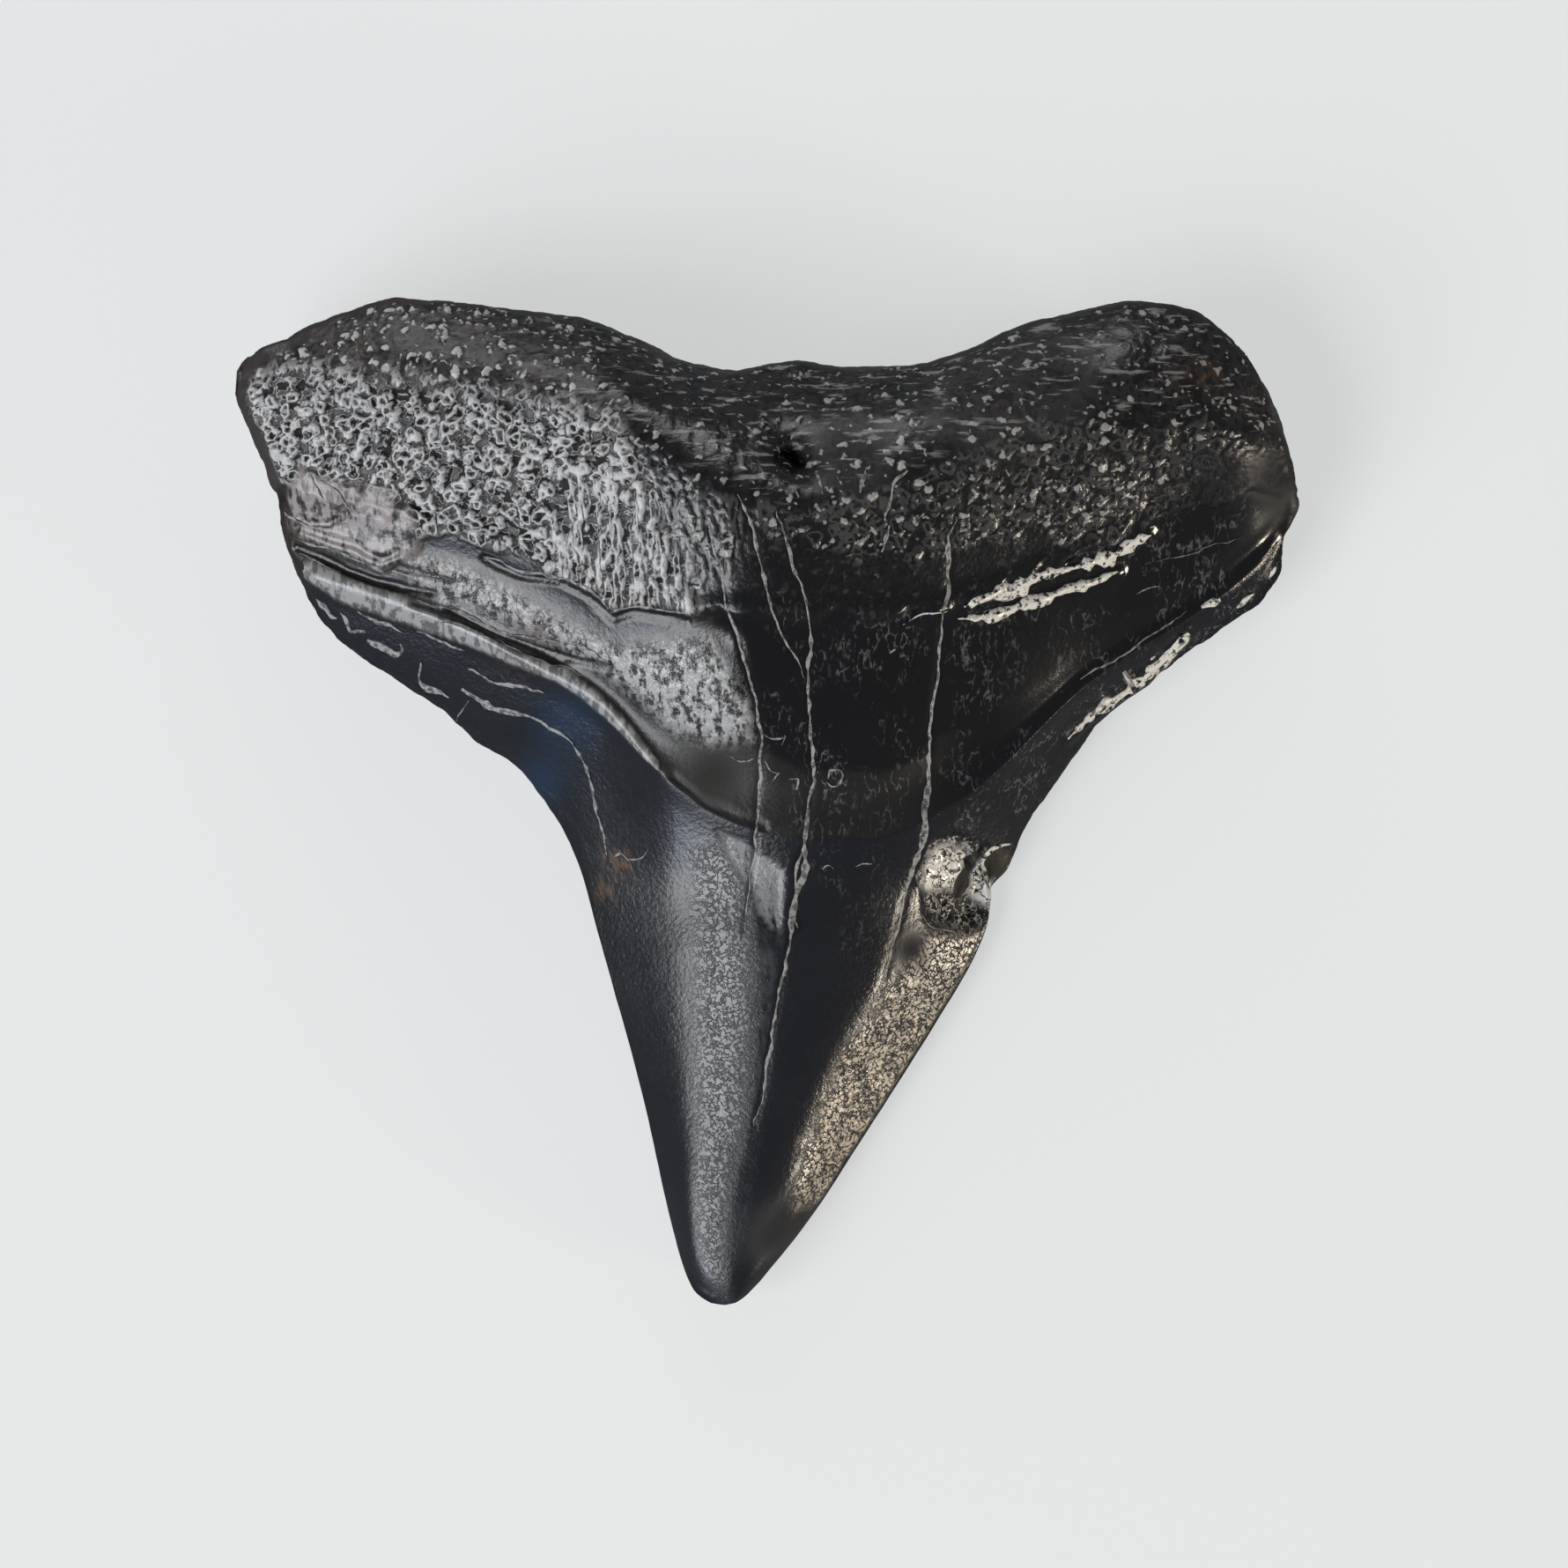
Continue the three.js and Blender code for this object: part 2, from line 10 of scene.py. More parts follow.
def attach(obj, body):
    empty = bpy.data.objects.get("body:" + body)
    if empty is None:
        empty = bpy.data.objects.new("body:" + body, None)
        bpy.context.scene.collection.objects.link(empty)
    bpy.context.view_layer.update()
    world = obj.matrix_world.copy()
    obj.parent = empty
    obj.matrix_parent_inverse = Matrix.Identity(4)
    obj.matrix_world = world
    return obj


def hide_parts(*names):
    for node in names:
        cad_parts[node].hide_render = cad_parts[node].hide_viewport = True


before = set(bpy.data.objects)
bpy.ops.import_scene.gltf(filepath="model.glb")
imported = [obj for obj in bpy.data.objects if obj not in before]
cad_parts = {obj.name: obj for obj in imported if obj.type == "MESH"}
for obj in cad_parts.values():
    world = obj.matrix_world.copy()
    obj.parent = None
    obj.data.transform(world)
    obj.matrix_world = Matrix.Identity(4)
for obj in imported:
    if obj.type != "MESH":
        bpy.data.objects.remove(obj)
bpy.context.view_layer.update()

bl_info = {
    "name": "Fossil Shark Tooth",
    "version": (1, 0, 0),
    "blender": (4, 5, 0),
    "location": "View3D > Sidebar > Fossil Tooth",
    "description": "Grows a black fossil shark tooth with a porous root, on a pale table",
    "category": "Add Mesh",
}

MM = 0.001


# ---- Curves and fades ----
def mix(a, b, share):
    return a + (b - a) * share


def ramp(value, start, full):
    return np.clip((value - start) / (full - start), 0, 1)


def smooth(value, start, full):
    t = ramp(value, start, full)
    return t * t * (3 - 2 * t)


def bell(distance, reach):
    return np.exp(-((distance / reach) ** 2))


def slopes_at(rises):
    """The slope at each point between the rises beside it, level where they turn."""
    before, after = np.concatenate([rises[:1], rises]), np.concatenate([rises, rises[-1:]])
    same_way = before * after > 0
    total = np.where(same_way, before + after, 1.0)
    return np.where(same_way, 2 * before * after / total, 0.0)


def between(i, share, spans, heights, slopes):
    """The height that share of the way from point i to the next, on a curve with those slopes."""
    blend = smooth(share, 0, 1)
    bow = spans[i] * share * (1 - share) * (slopes[i] * (1 - share) - slopes[i + 1] * share)
    return mix(heights[i], heights[i + 1], blend) + bow


def curve_through(points):
    """A smooth curve through (input, output) points that never overshoots them."""
    xs, ys = (np.array(column, float) for column in zip(*points))
    spans = np.diff(xs)
    slopes = slopes_at(np.diff(ys) / spans)

    def value(inputs):
        inputs = np.asarray(inputs, float)
        i = np.clip(np.searchsorted(xs, inputs, side="left") - 1, 0, len(spans) - 1)
        return between(i, ramp(inputs, xs[i], xs[i + 1]), spans, ys, slopes)

    return value


LUMPS = 97  # lumps of unevenness in a row before they repeat
FIRST_LUMP = 200  # the one at the origin, so that no point of the tooth has a number below 0


def uneven(x, y, size, seed):
    """Smooth unevenness between -1 and 1, with lumps of about the given size."""
    table = np.random.default_rng(seed).uniform(-1, 1, (LUMPS, LUMPS))
    u, v = x / size + FIRST_LUMP, y / size + FIRST_LUMP
    i, j = np.floor(u).astype(int), np.floor(v).astype(int)
    s, t = smooth(u - i, 0, 1), smooth(v - j, 0, 1)

    def lump(column, row):
        return table[column % LUMPS, row % LUMPS]

    low = mix(lump(i, j), lump(i + 1, j), s)
    high = mix(lump(i, j + 1), lump(i + 1, j + 1), s)
    return mix(low, high, t)


def distance_to_line(x, y, line):
    """Distance from each point to an open line of (x, y) points."""
    line = np.array(line, float)
    least = np.full(np.shape(x), np.inf)
    for (ax, ay), (bx, by) in zip(line[:-1], line[1:]):
        dx, dy = bx - ax, by - ay
        t = np.clip(((x - ax) * dx + (y - ay) * dy) / (dx * dx + dy * dy), 0, 1)
        least = np.minimum(least, np.hypot(x - ax - t * dx, y - ay - t * dy))
    return least


# ---- Growth of the tooth, in millimetres ----
# +X to the right across the crown, +Y from its tip to the root, +Z up out of the lingual face.
ROOT_THICKNESS = 5.4
CROWN_THICKNESS = 3.1
TIP = (-0.92, -10.44)
CENTRE_X = 0.5
KEEL_X = -0.35

# The two side edges give x at each y, from the tip to a corner of the root.
left_edge = curve_through([
    (TIP[1], TIP[0]), (-10.39, -1.22), (-10.08, -1.6), (-9.0, -1.97), (-6.0, -2.66), (-2.8, -3.54),
    (-1.3, -3.96), (-0.3, -4.42), (0.8, -5.28), (1.3, -6.02), (2.0, -6.85), (2.9, -8.2),
    (3.4, -8.9), (4.0, -9.44), (4.9, -9.86), (5.6, -10.1), (6.4, -10.22), (7.3, -10.46),
    (8.1, -10.8), (8.6, -10.98),
])
right_edge = curve_through([
    (TIP[1], TIP[0]), (-10.39, -0.68), (-10.08, -0.3), (-9.7, 0.03), (-8.6, 0.9), (-7.0, 1.95),
    (-4.6, 3.47), (-3.1, 4.34), (-2.4, 4.6), (-1.72, 4.68), (-1.3, 5.02), (-0.6, 5.3),
    (0.2, 5.82), (1.0, 6.4), (1.5, 6.72), (2.0, 7.2), (2.5, 7.86), (3.2, 8.75), (3.7, 9.5),
    (4.3, 10.28), (4.9, 10.68), (5.6, 10.76), (6.3, 11.02), (6.9, 10.82), (7.8, 10.6),
    (8.5, 10.3), (8.9, 10.08),
])
# The basal edge of the root gives y at each x, from corner to corner over the two lobes.
BASAL_EDGE = [
    (-10.98, 8.6), (-10.93, 9.0), (-10.6, 9.33), (-9.95, 9.6), (-9.55, 9.84), (-8.6, 10.18),
    (-7.8, 10.42), (-6.8, 10.38), (-5.3, 10.2), (-4.0, 10.04), (-2.8, 9.6), (-1.5, 9.06),
    (-0.7, 8.94), (0.1, 9.08), (0.6, 9.14), (1.4, 9.0), (2.8, 9.04), (3.9, 9.28), (5.3, 9.86),
    (6.6, 10.2), (7.4, 10.37), (8.7, 10.2), (9.4, 9.74), (9.9, 9.2), (10.08, 8.9),
]
basal_edge = curve_through(BASAL_EDGE)

# Growth lines across the tooth: y at each x.
ENAMEL_FOOT = [
    (-9.86, 4.9), (-7.1, 4.0), (-4.9, 2.95), (-3.5, 2.15), (-1.9, 0.4), (-0.5, -0.4),
    (CENTRE_X, -0.65), (2.0, -0.72), (4.0, 0.15), (6.6, 2.5), (9.6, 4.5), (10.76, 5.6),
]
enamel_foot = curve_through(ENAMEL_FOOT)
ROOT_NECK = [
    (-10.24, 6.5), (-7.7, 5.75), (-5.6, 5.2), (-4.2, 4.5), (-3.0, 4.0), (CENTRE_X, 3.8),
    (2.6, 3.75), (4.2, 4.15), (5.7, 4.75), (7.9, 5.7), (10.94, 6.6),
]
root_neck = curve_through(ROOT_NECK)
ROOT_CREST = [
    (-10.72, 7.9), (-8.0, 8.45), (-5.0, 8.25), (-3.1, 7.75), (-1.3, 6.6), (CENTRE_X, 6.1),
    (3.0, 6.9), (6.0, 7.9), (8.5, 7.9), (10.72, 7.3),
]
root_crest = curve_through(ROOT_CREST)

# Heights over the table.
rim_height = curve_through([
    (-10.44, 0.85), (-9.6, 0.6), (-7.0, 0.48), (0.0, 0.5), (3.0, 0.75), (5.0, 1.2), (7.0, 1.9),
    (10.4, 2.3),
])
crown_ridge_height = curve_through([
    (-10.44, 0.85), (-10.2, 1.14), (-9.4, 1.42), (-7.0, 1.86), (-4.0, 2.38),
    (-1.0, 0.93 * CROWN_THICKNESS), (1.5, CROWN_THICKNESS), (5.0, 1.03 * CROWN_THICKNESS),
])
crown_ridge_x = curve_through([
    (-10.44, TIP[0]), (-8.3, -0.45), (-6.0, 0.0), (-4.0, 0.3), (-1.5, CENTRE_X),
])
foot_height = curve_through([
    (-9.86, 1.55), (-7.1, 2.25), (-4.9, 2.75), (-3.5, 2.95), (-1.9, CROWN_THICKNESS),
    (CENTRE_X, CROWN_THICKNESS), (2.0, 2.95), (4.0, 2.7), (6.6, 2.15), (9.6, 1.6), (10.76, 1.35),
])
neck_height = curve_through([
    (-10.24, 2.0), (-7.5, 2.75), (-4.0, 3.72), (-1.2, 4.75), (KEEL_X, 0.905 * ROOT_THICKNESS),
    (1.6, 4.6), (4.5, 3.75), (8.0, 2.8), (10.94, 2.05),
])
crest_height = curve_through([
    (-10.72, 2.7), (-8.0, 3.5), (-5.0, 4.2), (-2.4, 0.94 * ROOT_THICKNESS),
    (-0.6, ROOT_THICKNESS), (2.6, 0.91 * ROOT_THICKNESS), (6.0, 4.3), (8.5, 3.6), (10.72, 2.7),
])
basal_height = curve_through([
    (-10.98, 2.3), (-7.0, 3.3), (-2.0, 3.6), (CENTRE_X, 3.5), (3.0, 3.6), (7.0, 3.3), (10.1, 2.4),
])
lingual_rounding = curve_through([(2.0, 0.05), (5.0, 0.5), (7.0, 1.2), (10.4, 1.7)])
labial_rounding = curve_through([
    (-10.44, 1.1), (-8.0, 0.8), (3.0, 0.9), (6.0, 1.4), (9.0, 2.4), (10.4, 2.6),
])
# The blade is a strip on the left of a gently arched middle, between two steep flanks.
strip_left = curve_through([
    (-10.44, -1.15), (-9.6, -1.62), (-8.0, -1.75), (-2.0, -1.78), (0.0, -1.95),
])
strip_right = curve_through([
    (-10.44, -0.92), (-9.6, -0.98), (-8.1, -0.86), (-6.3, -0.5), (-3.5, -0.37), (-0.2, -0.6),
])
STRIP_SLOPE = 0.36
flank_slope = curve_through([
    (-10.44, 2.4), (-9.4, 2.3), (-8.6, 1.9), (-8.0, 1.25), (-7.2, 0.98), (-5.5, 0.86), (0.0, 0.86),
])
MIDDLE_POWER = 1.64
middle_fall = curve_through([
    (-10.44, 0.5), (-9.4, 0.3), (-8.0, 0.3), (-6.0, 0.2), (-4.5, 0.17), (0.0, 0.2),
])
# Below this level the right half of the root is smooth.
right_pores_foot = curve_through([
    (-1.7, 3.9), (-0.9, 4.9), (0.0, 5.3), (1.9, 5.0), (3.0, 5.2), (5.0, 5.46), (7.4, 5.5),
    (7.9, 5.8), (9.0, 6.1), (10.9, 6.2),
])
# How tightly one facet turns into the next, per millimetre.
LEFT_SHARPNESS = 5.0
FACET_SHARPNESS = 14.0
LEAST_FLANK = 0.22
SHOULDER_POWER = 0.9
SHOULDER_START = (-3.2, -0.75)  # the blade goes over into the shoulders between these levels
FOOT_SLANT = 0.75  # from the height of a point below the foot to its distance from it

# Relief that the solid has too.
MIDDLE_LEFT, MIDDLE_RIGHT = (-4.0, -1.0), (3.0, 6.0)  # the middle fades in and out over these
ENAMEL_LEDGE = dict(height=0.14, reach=0.28, lost_in_middle=0.7)
NECK_LEDGE = dict(height=0.12, reach=0.3, above_neck=0.15)
BAND_HOLLOW = dict(depth=0.26, above_foot=1.0, above_foot_at_sides=0.35, reach=0.8, at_sides=0.3)
FORAMEN = dict(x=0.53, y=7.0, half_length=0.42, half_width=0.26, depth=0.9, turn=-0.6)
NUTRIENT_GROOVE = dict(half_width=1.1, depth=0.35, from_y=6.2, full_at_y=7.4)
EDGE_CHIP = dict(x=3.98, y=-1.7, half_width=0.84, half_height=1.0, depth=0.4, wall=0.4)
LABIAL_FURROW = dict(depth=0.22, reach=0.45, full_from_rim=0.8)
RELIEF_FROM_RIM = 0.35
LEAST_OF_RIM = 0.6  # no relief cuts deeper than this share of the rim's height
PAST_EDGE = 0.01  # the root's curve ends this far past the basal edge, so the rim lies on it

# Rows and columns of the mesh.
COLUMNS = 342
CROWN_ROWS = 80
BAND_ROWS = 42
ROOT_ROWS = 78
BASAL_ROWS = 40
LABIAL_STEP = 3  # the hidden labial face uses every third row and column
OUTLINE_STEP = 4  # distances are measured from every fourth point of the rim
CROWN_ROW_CROWDING = 1.2
COLUMN_CROWDING = 0.35
# Where each column starts on the edge of the crown, and where it crosses the enamel's foot.
start_level = curve_through([
    (0.0, 3.3), (0.24, 0.5), (0.36, -4.6), (0.43, -8.3), (0.455, -9.6), (0.47, -10.1),
    (0.485, -10.36), (0.5, TIP[1]), (0.515, -10.36), (0.53, -10.1), (0.545, -9.6), (0.57, -8.3),
    (0.62, -4.9), (0.67, -2.9), (0.73, -1.0), (0.79, 0.7), (1.0, 3.9),
])
foot_x = curve_through([
    (0.0, -9.86), (0.24, -4.2), (0.36, -1.9), (0.5, 0.3), (0.62, 2.2), (0.67, 3.1), (0.73, 4.3),
    (0.79, 5.6), (1.0, 10.76),
])


# ---- Where each point of the mesh lies ----
def edge_on(share, y):
    return np.where(share < 0.5, left_edge(y), right_edge(y))


def crown_row(share, climb):
    level = start_level(share)
    start_x = edge_on(share, level)
    y = mix(level, enamel_foot(foot_x(share)), climb)
    x = mix(start_x, foot_x(share), climb)
    on_side = (share == 0) | (share == 1)
    return np.where(on_side, edge_on(share, y), x), y


def root_row(share, lower, upper, climb):
    across = (foot_x(share) - ENAMEL_FOOT[0][0]) / (ENAMEL_FOOT[-1][0] - ENAMEL_FOOT[0][0])

    def on(line):
        x = mix(line[0][0], line[-1][0], across)
        return x, curve_through(line)(x)

    (low_x, low_y), (high_x, high_y) = on(lower), on(upper)
    y = mix(low_y, high_y, climb)
    on_side = (share == 0) | (share == 1)
    return np.where(on_side, edge_on(share, y), mix(low_x, high_x, climb)), y


def grid_points():
    """x and y of every point of the grid, one row of the arrays for each row across the tooth."""
    even = np.linspace(-1, 1, COLUMNS + 1)
    share = 0.5 + 0.5 * mix(even, np.sin(math.pi / 2 * even), COLUMN_CROWDING)
    share[0], share[-1] = 0.0, 1.0

    def evenly(count):
        return [(i + 1) / count for i in range(count)]

    rows = [crown_row(share, 0)]
    rows += [crown_row(share, 1 - (1 - t) ** CROWN_ROW_CROWDING) for t in evenly(CROWN_ROWS)]
    rows += [root_row(share, ENAMEL_FOOT, ROOT_NECK, t) for t in evenly(BAND_ROWS)]
    rows += [root_row(share, ROOT_NECK, ROOT_CREST, t) for t in evenly(ROOT_ROWS)]
    rows += [
        root_row(share, ROOT_CREST, BASAL_EDGE, math.sin(math.pi / 2 * t))
        for t in evenly(BASAL_ROWS)
    ]
    x, y = (np.array([row[axis] for row in rows]) for axis in (0, 1))
    return x, y


def outline_ring(x, y):
    """The rim of the grid as one closed loop of points."""
    ring = [
        np.column_stack([x[0], y[0]]),
        np.column_stack([x[1:, -1], y[1:, -1]]),
        np.column_stack([x[-1, -2::-1], y[-1, -2::-1]]),
        np.column_stack([x[-2::-1, 0], y[-2::-1, 0]]),
    ]
    return np.concatenate(ring)


# ---- Heights of the two faces ----
def rounded(inside, depth):
    share = np.clip(inside / depth, 0, 1)
    return np.sqrt(1 - (1 - share) ** 2)


def middle_height(x, y):
    beyond = np.maximum(x - crown_ridge_x(y), 0)
    return crown_ridge_height(y) - middle_fall(y) * beyond**MIDDLE_POWER


def flank_height(x, y):
    return rim_height(y) + flank_slope(y) * (right_edge(y) - x)


def soft_least(heights, sharpness):
    """The least of several heights, rounded over where they meet."""
    lowest = np.min(heights, axis=0)
    spread = sum(np.exp(sharpness * (lowest - height)) for height in heights)
    return lowest - np.log(spread) / sharpness


def crown_height(x, y, inside):
    """The facets of the blade, going over into shoulders that fall from the enamel's foot."""
    rim, ridge = rim_height(y), crown_ridge_height(y)
    left = left_edge(y)
    strip_x = np.maximum(strip_left(y), left + LEAST_FLANK)

    def strip(at_x):
        return ridge - STRIP_SLOPE * (strip_right(y) - at_x)

    left_slope = np.maximum(strip(strip_x) - rim, 0) / (strip_x - left)
    left_side = soft_least([rim + left_slope * (x - left), strip(x)], LEFT_SHARPNESS)
    blade = soft_least([left_side, middle_height(x, y), flank_height(x, y)], FACET_SHARPNESS)
    below_foot = np.maximum(enamel_foot(x) - y, 0) * FOOT_SLANT
    climb = inside / np.maximum(inside + below_foot, 1e-6)
    shoulder = mix(rim_height(y), foot_height(x), climb**SHOULDER_POWER)
    return mix(blade, shoulder, smooth(y, *SHOULDER_START))


def root_height(x, y):
    """From the enamel foot over the neck and the crest to the basal edge, as one smooth curve."""
    levels = np.array([enamel_foot(x), root_neck(x), root_crest(x), basal_edge(x) + PAST_EDGE])
    heights = np.array([foot_height(x), neck_height(x), crest_height(x), basal_height(x)])
    spans = np.diff(levels, axis=0)
    slopes = slopes_at(np.diff(heights, axis=0) / spans)
    result = np.zeros(np.shape(x))
    for i in range(len(spans)):
        piece = between(i, ramp(y, levels[i], levels[i + 1]), spans, heights, slopes)
        result = np.where(y >= levels[i], piece, result)
    return result


def within_chip(x, y):
    """1 in the middle of the chip in the blade's edge, 0 on its outline and less outside it."""
    across = np.abs(x - EDGE_CHIP["x"]) / EDGE_CHIP["half_width"]
    along_blade = np.abs(y - EDGE_CHIP["y"]) / EDGE_CHIP["half_height"]
    return 1 - (across**3 + along_blade**3) ** (1 / 3)


def lingual_relief(x, y):
    above_foot = y - enamel_foot(x)
    above_neck = y - root_neck(x)
    middle = smooth(x, *MIDDLE_LEFT) * (1 - smooth(x, *MIDDLE_RIGHT))
    ledge = ENAMEL_LEDGE["height"] * bell(above_foot, ENAMEL_LEDGE["reach"])
    ledge = ledge * (1 - ENAMEL_LEDGE["lost_in_middle"] * middle)
    step = NECK_LEDGE["height"] * bell(above_neck - NECK_LEDGE["above_neck"], NECK_LEDGE["reach"])
    hollow_at = mix(BAND_HOLLOW["above_foot_at_sides"], BAND_HOLLOW["above_foot"], middle)
    hollow = bell((above_foot - hollow_at) / hollow_at, BAND_HOLLOW["reach"])
    hollow = BAND_HOLLOW["depth"] * (hollow * mix(BAND_HOLLOW["at_sides"], 1.0, middle))
    groove = (
        NUTRIENT_GROOVE["depth"]
        * ramp(y, NUTRIENT_GROOVE["from_y"], NUTRIENT_GROOVE["full_at_y"])
        * bell(x - CENTRE_X, NUTRIENT_GROOVE["half_width"])
    )
    off_x, off_y = x - FORAMEN["x"], y - FORAMEN["y"]
    cosine, sine = math.cos(FORAMEN["turn"]), math.sin(FORAMEN["turn"])
    along_slot = (off_x * cosine + off_y * sine) / FORAMEN["half_length"]
    across_slot = (off_y * cosine - off_x * sine) / FORAMEN["half_width"]
    foramen = FORAMEN["depth"] * bell(np.hypot(along_slot, across_slot), 1.0)
    chip = EDGE_CHIP["depth"] * ramp(within_chip(x, y), 0, EDGE_CHIP["wall"])
    return ledge + step - hollow - groove - foramen - chip


def lingual_height(x, y, inside):
    rim = rim_height(y)
    body = np.where(y > enamel_foot(x), root_height(x, y), crown_height(x, y, inside))
    top = rim + (body - rim) * rounded(inside, lingual_rounding(y))
    raised = top + lingual_relief(x, y) * ramp(inside, 0, RELIEF_FROM_RIM)
    return np.maximum(raised, rim * LEAST_OF_RIM)


def labial_height(x, y, inside):
    wall = rim_height(y) * (1 - rounded(inside, labial_rounding(y)))
    hollow = bell(y - root_neck(x), LABIAL_FURROW["reach"])
    furrow = LABIAL_FURROW["depth"] * hollow * ramp(inside, 0, LABIAL_FURROW["full_from_rim"])
    return np.maximum(wall, furrow)


# ---- The tooth's mesh ----
def labial_faces(grid, on_rim):
    """Cells of several rows and columns, each a fan that takes in the rim points beside it."""
    step = LABIAL_STEP
    last_row, last_column = grid.shape[0] - 1, grid.shape[1] - 1
    faces = []
    for row in range(0, last_row, step):
        for column in range(0, last_column, step):
            sides = [
                [(row, column + k) for k in range(step)],
                [(row + k, column + step) for k in range(step)],
                [(row + step, column + step - k) for k in range(step)],
                [(row + step - k, column) for k in range(step)],
            ]
            on_border = [
                row == 0, column + step == last_column, row + step == last_row, column == 0,
            ]
            ring = []
            for side, border in zip(sides, on_border):
                ring += side if border else side[:1]
            corners = [grid[at] for at in ring]
            first = next(i for i, corner in enumerate(corners) if not on_rim[corner])
            turned = corners[first:] + corners[:first]
            faces += [(turned[0], b, a) for a, b in zip(turned[1:], turned[2:])]
    return faces


def tooth_mesh():
    """The smooth form of the tooth, with its regions kept as attributes on the points."""
    x, y = grid_points()
    inside = distance_to_line(x, y, outline_ring(x, y)[::OUTLINE_STEP])
    rim = np.zeros(x.shape, bool)
    rim[0], rim[-1], rim[:, 0], rim[:, -1] = True, True, True, True
    z = np.where(rim, rim_height(y), lingual_height(x, y, inside))
    lingual = np.arange(x.size).reshape(x.shape)

    used = np.zeros(x.shape, bool)
    used[::LABIAL_STEP, ::LABIAL_STEP] = True
    own = used & ~rim
    labial = np.where(rim, lingual, -1)
    labial[own] = x.size + np.arange(own.sum())
    below = labial_height(x[own], y[own], inside[own])

    points = np.concatenate([
        np.column_stack([x.ravel(), y.ravel(), z.ravel()]),
        np.column_stack([x[own], y[own], below]),
    ])
    grown_x, grown_y = points[:, 0].copy(), points[:, 1].copy()
    points[:, :2] -= (points[:, :2].min(0) + points[:, :2].max(0)) / 2

    a, b = lingual[:-1, :-1].ravel(), lingual[:-1, 1:].ravel()
    c, d = lingual[1:, 1:].ravel(), lingual[1:, :-1].ravel()
    upper = np.concatenate([np.column_stack([a, b, c]), np.column_stack([a, c, d])])
    on_rim = np.append(rim.ravel(), np.zeros(own.sum(), bool))
    lower = np.array(labial_faces(labial, on_rim))
    faces = np.concatenate([upper, lower])

    mesh = bpy.data.meshes.new("tooth")
    mesh.from_pydata((points * MM).tolist(), [], faces.tolist())
    mesh.polygons.foreach_set("use_smooth", np.ones(len(faces), bool))

    depth = np.append(inside.ravel(), inside[own])
    top = np.append(np.ones(x.size), np.zeros(own.sum()))
    for name, values in regions(grown_x, grown_y, depth, top).items():
        attribute = mesh.attributes.new(name, "FLOAT", "POINT")
        attribute.data.foreach_set("value", values.astype(np.float32))
    place = mesh.attributes.new("place", "FLOAT_VECTOR", "POINT")
    place.data.foreach_set("vector", points.astype(np.float32).ravel())
    mesh.update()
    return mesh


# ---- Regions of the surface ----
# Spots as (x, y, radius).
RUST_MARKS = [(-3.2, -1.15, 0.28), (-3.42, -1.75, 0.22), (-2.95, -1.3, 0.22), (8.9, 8.8, 0.28)]
DULL_SPOTS = [
    (3.0, -3.0, 0.36), (1.7, 7.0, 0.8), (4.3, 8.2, 1.0), (5.8, 8.7, 0.9), (0.1, -9.0, 0.6),
    (0.6, -8.5, 0.4), (-1.1, 0.7, 0.7), (10.6, 6.8, 0.8),
]
CURLED_SPOTS = [(0.6, 1.0, 0.8), (0.0, 3.2, 0.6), (-0.1, 4.6, 0.6)]
PINK_SPOTS = [(-9.4, 6.0, 0.6), (-7.2, 4.95, 0.4), (-4.9, 3.45, 0.6)]
# Patches on the left shoulder where a blue reflection is painted.
BLUE_REFLECTION_PATCHES = [(-4.2, 1.75, 0.65), (-4.75, 0.55, 0.5)]
BITE = (4.77, -1.2, 0.36)  # the notch beside the chip
# Outlines and lines as (x, y), and the ridge with its half width too.
PALE_PLANE = [
    (-7.6, 5.1), (-6.6, 5.0), (-5.6, 4.5), (-4.6, 3.95), (-3.8, 3.5), (-3.0, 3.2), (-1.2, 3.4),
    (-0.6, 2.6), (-0.25, 1.4), (-1.2, 1.35), (-1.9, 1.55), (-2.6, 2.2), (-3.6, 2.95),
    (-5.2, 3.75), (-7.2, 4.5),
]
FOOT_RIDGE = [
    (-9.65, 4.98, 0.16), (-8.9, 4.56, 0.25), (-7.35, 4.0, 0.22), (-6.12, 3.52, 0.18),
    (-5.18, 3.11, 0.17), (-4.25, 2.72, 0.15), (-3.67, 2.29, 0.13), (-3.08, 1.76, 0.12),
    (-2.57, 1.17, 0.09), (-2.28, 0.82, 0.05),
]
SMOOTH_BLOB = [
    (-10.03, 6.38), (-9.61, 7.02), (-8.7, 6.66), (-7.87, 6.57), (-7.32, 6.02), (-7.23, 5.29),
    (-8.06, 4.92), (-8.97, 5.29), (-9.79, 5.65),
]
# Facets of the chip, where white glints are painted.
BRIGHT_FACETS = [
    [(3.27, -1.3), (3.33, -1.0), (3.56, -0.86), (4.1, -0.88), (4.2, -1.1), (4.06, -1.4),
     (3.86, -1.75), (3.24, -1.75)],
    [(4.19, -1.33), (4.38, -1.1), (4.62, -1.6), (4.68, -1.9), (4.62, -2.08), (4.33, -2.02),
     (4.2, -1.8)],
]
CHIP_CRACK = [(4.55, -0.75), (4.42, -0.95), (4.23, -1.17), (4.08, -1.47), (3.93, -1.85)]
TORN_PATCH = [
    (-1.05, -0.5), (-0.56, -0.72), (0.05, -1.15), (0.26, -1.36), (0.26, -2.6), (0.08, -2.52),
    (-0.21, -2.2), (-0.35, -1.75), (-0.56, -1.45), (-0.84, -1.05),
]
HALF_LIGHT = [
    (-0.56, -2.6), (0.25, -2.76), (0.2, -3.7), (-0.1, -5.8), (-0.3, -6.6), (-0.75, -8.0),
    (-0.95, -8.0), (-0.8, -6.5), (-0.55, -4.5),
]


